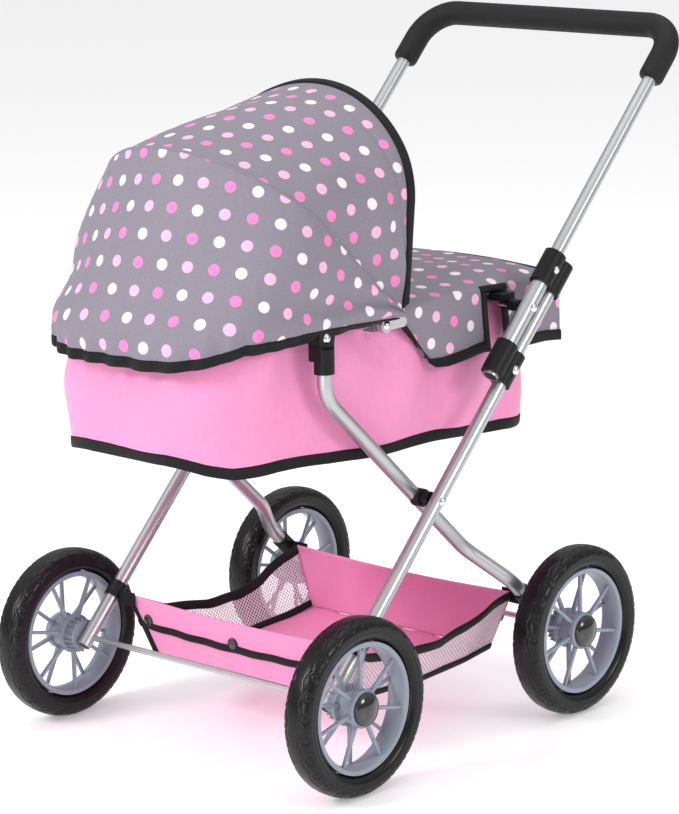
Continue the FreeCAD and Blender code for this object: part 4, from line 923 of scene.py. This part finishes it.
apron = sheet_from("apron_cloth", 120, 64, apron_surface)
slit_start = apron_surface(np.array([0.1]), np.array([SLIT_FROM]))[0, 1]
slit_end = apron_surface(np.array([0.1]), np.array([SLIT_TO]))[0, 1]
edit_select(apron, lambda centre, normal: abs(centre.x) > 0.1055 and slit_start < centre.y < slit_end
            and centre.z < RIM_Z + 0.0050)
bpy.ops.mesh.delete(type="FACE")
bpy.ops.object.mode_set(mode="OBJECT")
finish_piece(apron, spotted("spotted_apron", 20), "carrycot", "spotted_cloth", "apron")
APRON_TAPE, SLIT_TAPE = (0.0085, TAPE_THICK), (0.0060, TAPE_THICK)
apron_tapes = [bind("apron_front_tape", apron_surface, (0, 0), (1, 0), (0, 1), *APRON_TAPE, 161),
               bind("apron_rear_tape", apron_surface, (0.12, 1), (0.88, 1), (0, -1), *APRON_TAPE, 121)]
for name, foot, way in (("right", 0.0, 1), ("left", 1.0, -1)):
    slit = foot + way * SLIT_TOP
    for label, start, end, inward, tape, count in (
            ("flap_tape", (foot, 0), (foot, SLIT_FROM), (way, 0), APRON_TAPE, 121),
            ("tail_tape", (foot, SLIT_TO), (foot, 1), (way, 0), APRON_TAPE, 121),
            ("slit_front", (foot, SLIT_FROM), (slit, SLIT_FROM), (0, -1), SLIT_TAPE, 41),
            ("slit_rear", (foot, SLIT_TO), (slit, SLIT_TO), (0, 1), SLIT_TAPE, 41),
            ("slit_top", (slit, SLIT_FROM - 0.03), (slit, SLIT_TO + 0.03), (way, 0), SLIT_TAPE, 41)):
        apron_tapes.append(bind(f"apron_{label}_{name}", apron_surface, start, end, inward, *tape, count))


def back_flap_place(u, v):
    across = 2 * u - 1
    return np.stack([
        across * (APRON_HALF - 0.0025), APRON_REAR + 0.0008 + 0.0016 * np.sin(u * 31) * v,
        RIM_Z + 0.0052 + 0.006 * np.cos(across * np.pi / 2).clip(0) ** 0.8 - 0.050 * v], axis=1)


back_flap = sheet_from("apron_back_flap", 80, 14, back_flap_place)
finish_piece(back_flap, spotted("spotted_back", 20), "carrycot", "spotted_cloth")
back_tape = bind("apron_back_tape", back_flap_place, (0, 1), (1, 1), (0, -1), *APRON_TAPE, 81)
declare_cloth(back_flap)
declare_cloth(apron)

# ------------------------------------------------------------------ basket
# A bag of pink nylon with pale net sides, hung between straps on the two axle ends of the frame. Each end folds
# out into a bound flap that closes round its strap with black snaps.
FRONT_LOW, FRONT_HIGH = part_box("basket_front_panel")
REAR_LOW, REAR_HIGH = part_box("basket_rear_panel")
TOP_HALF, FOOT_HALF = 0.124, 0.1025
FOOT_Z, FLAP_DROP = 0.0525, 0.52


snap_black, snap_tree, snap_shader = material_named("black_snap", (0.012, 0.012, 0.014), 0.22)
noise_bump(snap_tree, snap_shader, 600, 0.05, 0.0004)
snap_shader.inputs["Coat Weight"].default_value = 0.6


def end_wall(top_y, foot_y, top_z, foot_z, bulge, lift):
    """A leaning end wall: u from right to left, v from its top to the floor."""
    def place(u, v):
        across = 2 * u - 1
        half = TOP_HALF + (FOOT_HALF - TOP_HALF) * v
        outward = 1 if bulge > 0 else -1
        y = top_y + (foot_y - top_y) * v + bulge * np.sin(np.pi * v.clip(0, 1)) * np.cos(across * np.pi / 2)
        y = y + 0.0008 * np.sin(across * 19 + 2 * v) * np.sin(np.pi * v.clip(0, 1)) + outward * lift
        sag = 0.003 * np.cos(across * np.pi / 2) * (1 - v)
        return np.stack([across * half, y, top_z + (foot_z - top_z) * v - sag], axis=1)
    return place


for label, body, top_y, foot_y, top_z, bulge, side_edges, snap_shares in (
        ("front", "chassis", FRONT_LOW[1] + 0.0012, FRONT_HIGH[1] - 0.001, FRONT_HIGH[2] - 0.0006, -0.003,
         (("r", 0, 1), ("l", 1, -1)), (0.07, 0.5, 0.93)),
        ("rear", "legs", REAR_HIGH[1] - 0.0012, REAR_LOW[1] + 0.001, REAR_HIGH[2] - 0.0006, 0.003,
         (), (0.06, 0.94))):
    wall = end_wall(top_y, foot_y, top_z, FOOT_Z, bulge, 0.0)
    flap = end_wall(top_y, foot_y, top_z + 0.0004, FOOT_Z, bulge, 0.0012)
    turned = (lambda u: u) if label == "front" else (lambda u: 1 - u)
    panel = sheet_from(f"basket_{label}_cloth", 80, 24, lambda u, v: wall(turned(u), 1 - v))
    cover = sheet_from(f"basket_{label}_flap", 80, 12, lambda u, v: flap(turned(u), (1 - v) * FLAP_DROP))
    finish_piece(panel, pink, body, "pink_satin", f"basket_{label}_panel")
    finish_piece(cover, pink, body, "pink_satin")
    cover_tapes = [bind(f"basket_{label}_flap_tape", flap, (0, FLAP_DROP), (1, FLAP_DROP), (0, -1), 0.0062, 0.0028,
                        81, body=body)]
    side_tapes = [bind(f"basket_side_tape_{side}", wall, (share, 0), (share, 1), (way, 0), 0.0062, TAPE_THICK, 41,
                       body=body) for side, share, way in side_edges]
    declare_cloth(panel)
    declare_cloth(cover)
    heads = []
    for share in snap_shares:
        spot = flap(np.array([share]), np.array([0.36]))[0]
        clear_selection()
        bpy.ops.mesh.primitive_cylinder_add(vertices=32, radius=0.0048, depth=0.0036, location=(0, 0, 0.0004))
        head = bpy.context.object
        bpy.ops.object.transform_apply(location=True, rotation=False, scale=False)
        edit_select(head, lambda centre, normal: normal.z > 0.9)
        bpy.ops.mesh.inset(thickness=0.0028, depth=0.0007)
        bpy.ops.object.mode_set(mode="OBJECT")
        round_edges(head, 0.0009, 3)
        bpy.ops.object.shade_smooth()
        lean = Vector((0, -1 if label == "front" else 1, -0.15)).to_track_quat("Z", "Y").to_matrix().to_4x4()
        head.data.transform(Matrix.Translation(spot) @ lean)
        heads.append(head)
    snaps = join(heads, f"basket_{label}_snap_heads")
    finish_piece(snaps, snap_black, body, "black_plastic", f"basket_snaps_{label}")


def sunk(y):
    """How far the floor sags below its two ends."""
    return np.interp(y, (-0.14, -0.10, -0.04, 0.02, 0.051), (0.0, 0.005, 0.0075, 0.004, 0.0))


def floor_place(u, v):
    across = 2 * u - 1
    y = (FRONT_HIGH[1] - 0.001) * (1 - v) + (REAR_LOW[1] + 0.001) * v
    z = FOOT_Z - sunk(y) - 0.003 * np.sin(np.pi * v) * np.cos(across * np.pi / 2)
    z = z + 0.0007 * np.sin(across * 17 + v * 9)
    return np.stack([across * (FOOT_HALF - 0.0002), y, z], axis=1)


basket_floor = sheet_from("basket_floor_cloth", 64, 64, floor_place)
finish_piece(basket_floor, pink, None, "pink_satin", "basket_floor")
NET_CELL = 0.0026
net, net_tree, net_shader = material_named("pale_net", (0.80, 0.74, 0.78), 0.5)
net_flat = net_tree.nodes.new("ShaderNodeUVMap")
net_place = net_tree.nodes.new("ShaderNodeMapping")
net_place.inputs["Rotation"].default_value = (0, 0, math.radians(45))
net_place.inputs["Scale"].default_value = (1 / NET_CELL, 1 / NET_CELL, 1)
net_cells = add_node(net_tree, "ShaderNodeTexVoronoi", Scale=1.0, Randomness=0.0)
net_hole = net_tree.nodes.new("ShaderNodeMath")
net_hole.operation = "GREATER_THAN"
net_hole.inputs[1].default_value = 0.38
net_tree.links.new(net_flat.outputs["UV"], net_place.inputs["Vector"])
net_tree.links.new(net_place.outputs["Vector"], net_cells.inputs["Vector"])
net_tree.links.new(net_cells.outputs["Distance"], net_hole.inputs[0])
net_tree.links.new(net_hole.outputs["Value"], net_shader.inputs["Alpha"])


def net_wall(side):
    def place(u, v):
        """u from the front panel to the rear, v from the floor up to the trim."""
        front_y = FRONT_HIGH[1] + (FRONT_LOW[1] - FRONT_HIGH[1]) * v
        rear_y = REAR_LOW[1] + (REAR_HIGH[1] - REAR_LOW[1]) * v
        y = front_y * (1 - u) + rear_y * u
        top_z = np.interp(u, (0, 0.18, 0.42, 0.6, 0.75, 0.9, 1),
                          (0.1052, 0.089, 0.0815, 0.081, 0.088, 0.100, 0.1046))
        foot_z = FOOT_Z - sunk(y)
        share = (top_z - foot_z) / (0.105 - FOOT_Z)
        x = FOOT_HALF + (TOP_HALF - FOOT_HALF) * v * share + 0.0012 * np.sin(u * 25) * v
        return np.stack([side * x, y, foot_z + (top_z - foot_z) * v], axis=1)
    return place


spanning = [basket_floor]
for side, name in ((1, "l"), (-1, "r")):
    wall = net_wall(side)
    mesh_wall = sheet_from(f"basket_net_{name}", 80, 20, wall if side > 0 else (lambda u, v: wall(1 - u, v)))
    finish_piece(mesh_wall, net, None, "net", f"basket_mesh_{name}")
    tapes = [bind(f"basket_top_tape_{name}", wall, (0, 1), (1, 1), (0, -1), 0.0078, 0.003, 81, body=None),
             bind(f"basket_foot_tape_{name}", wall, (0, 0), (1, 0), (0, 1), 0.0055, 0.003, 81, body=None)]
    declare_cloth(mesh_wall, thickness=0.0004)
    spanning += [mesh_wall] + tapes
declare_cloth(basket_floor)
for piece in spanning:
    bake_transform(piece)
set_material(["basket_straps_front", "basket_straps_rear"], twill)
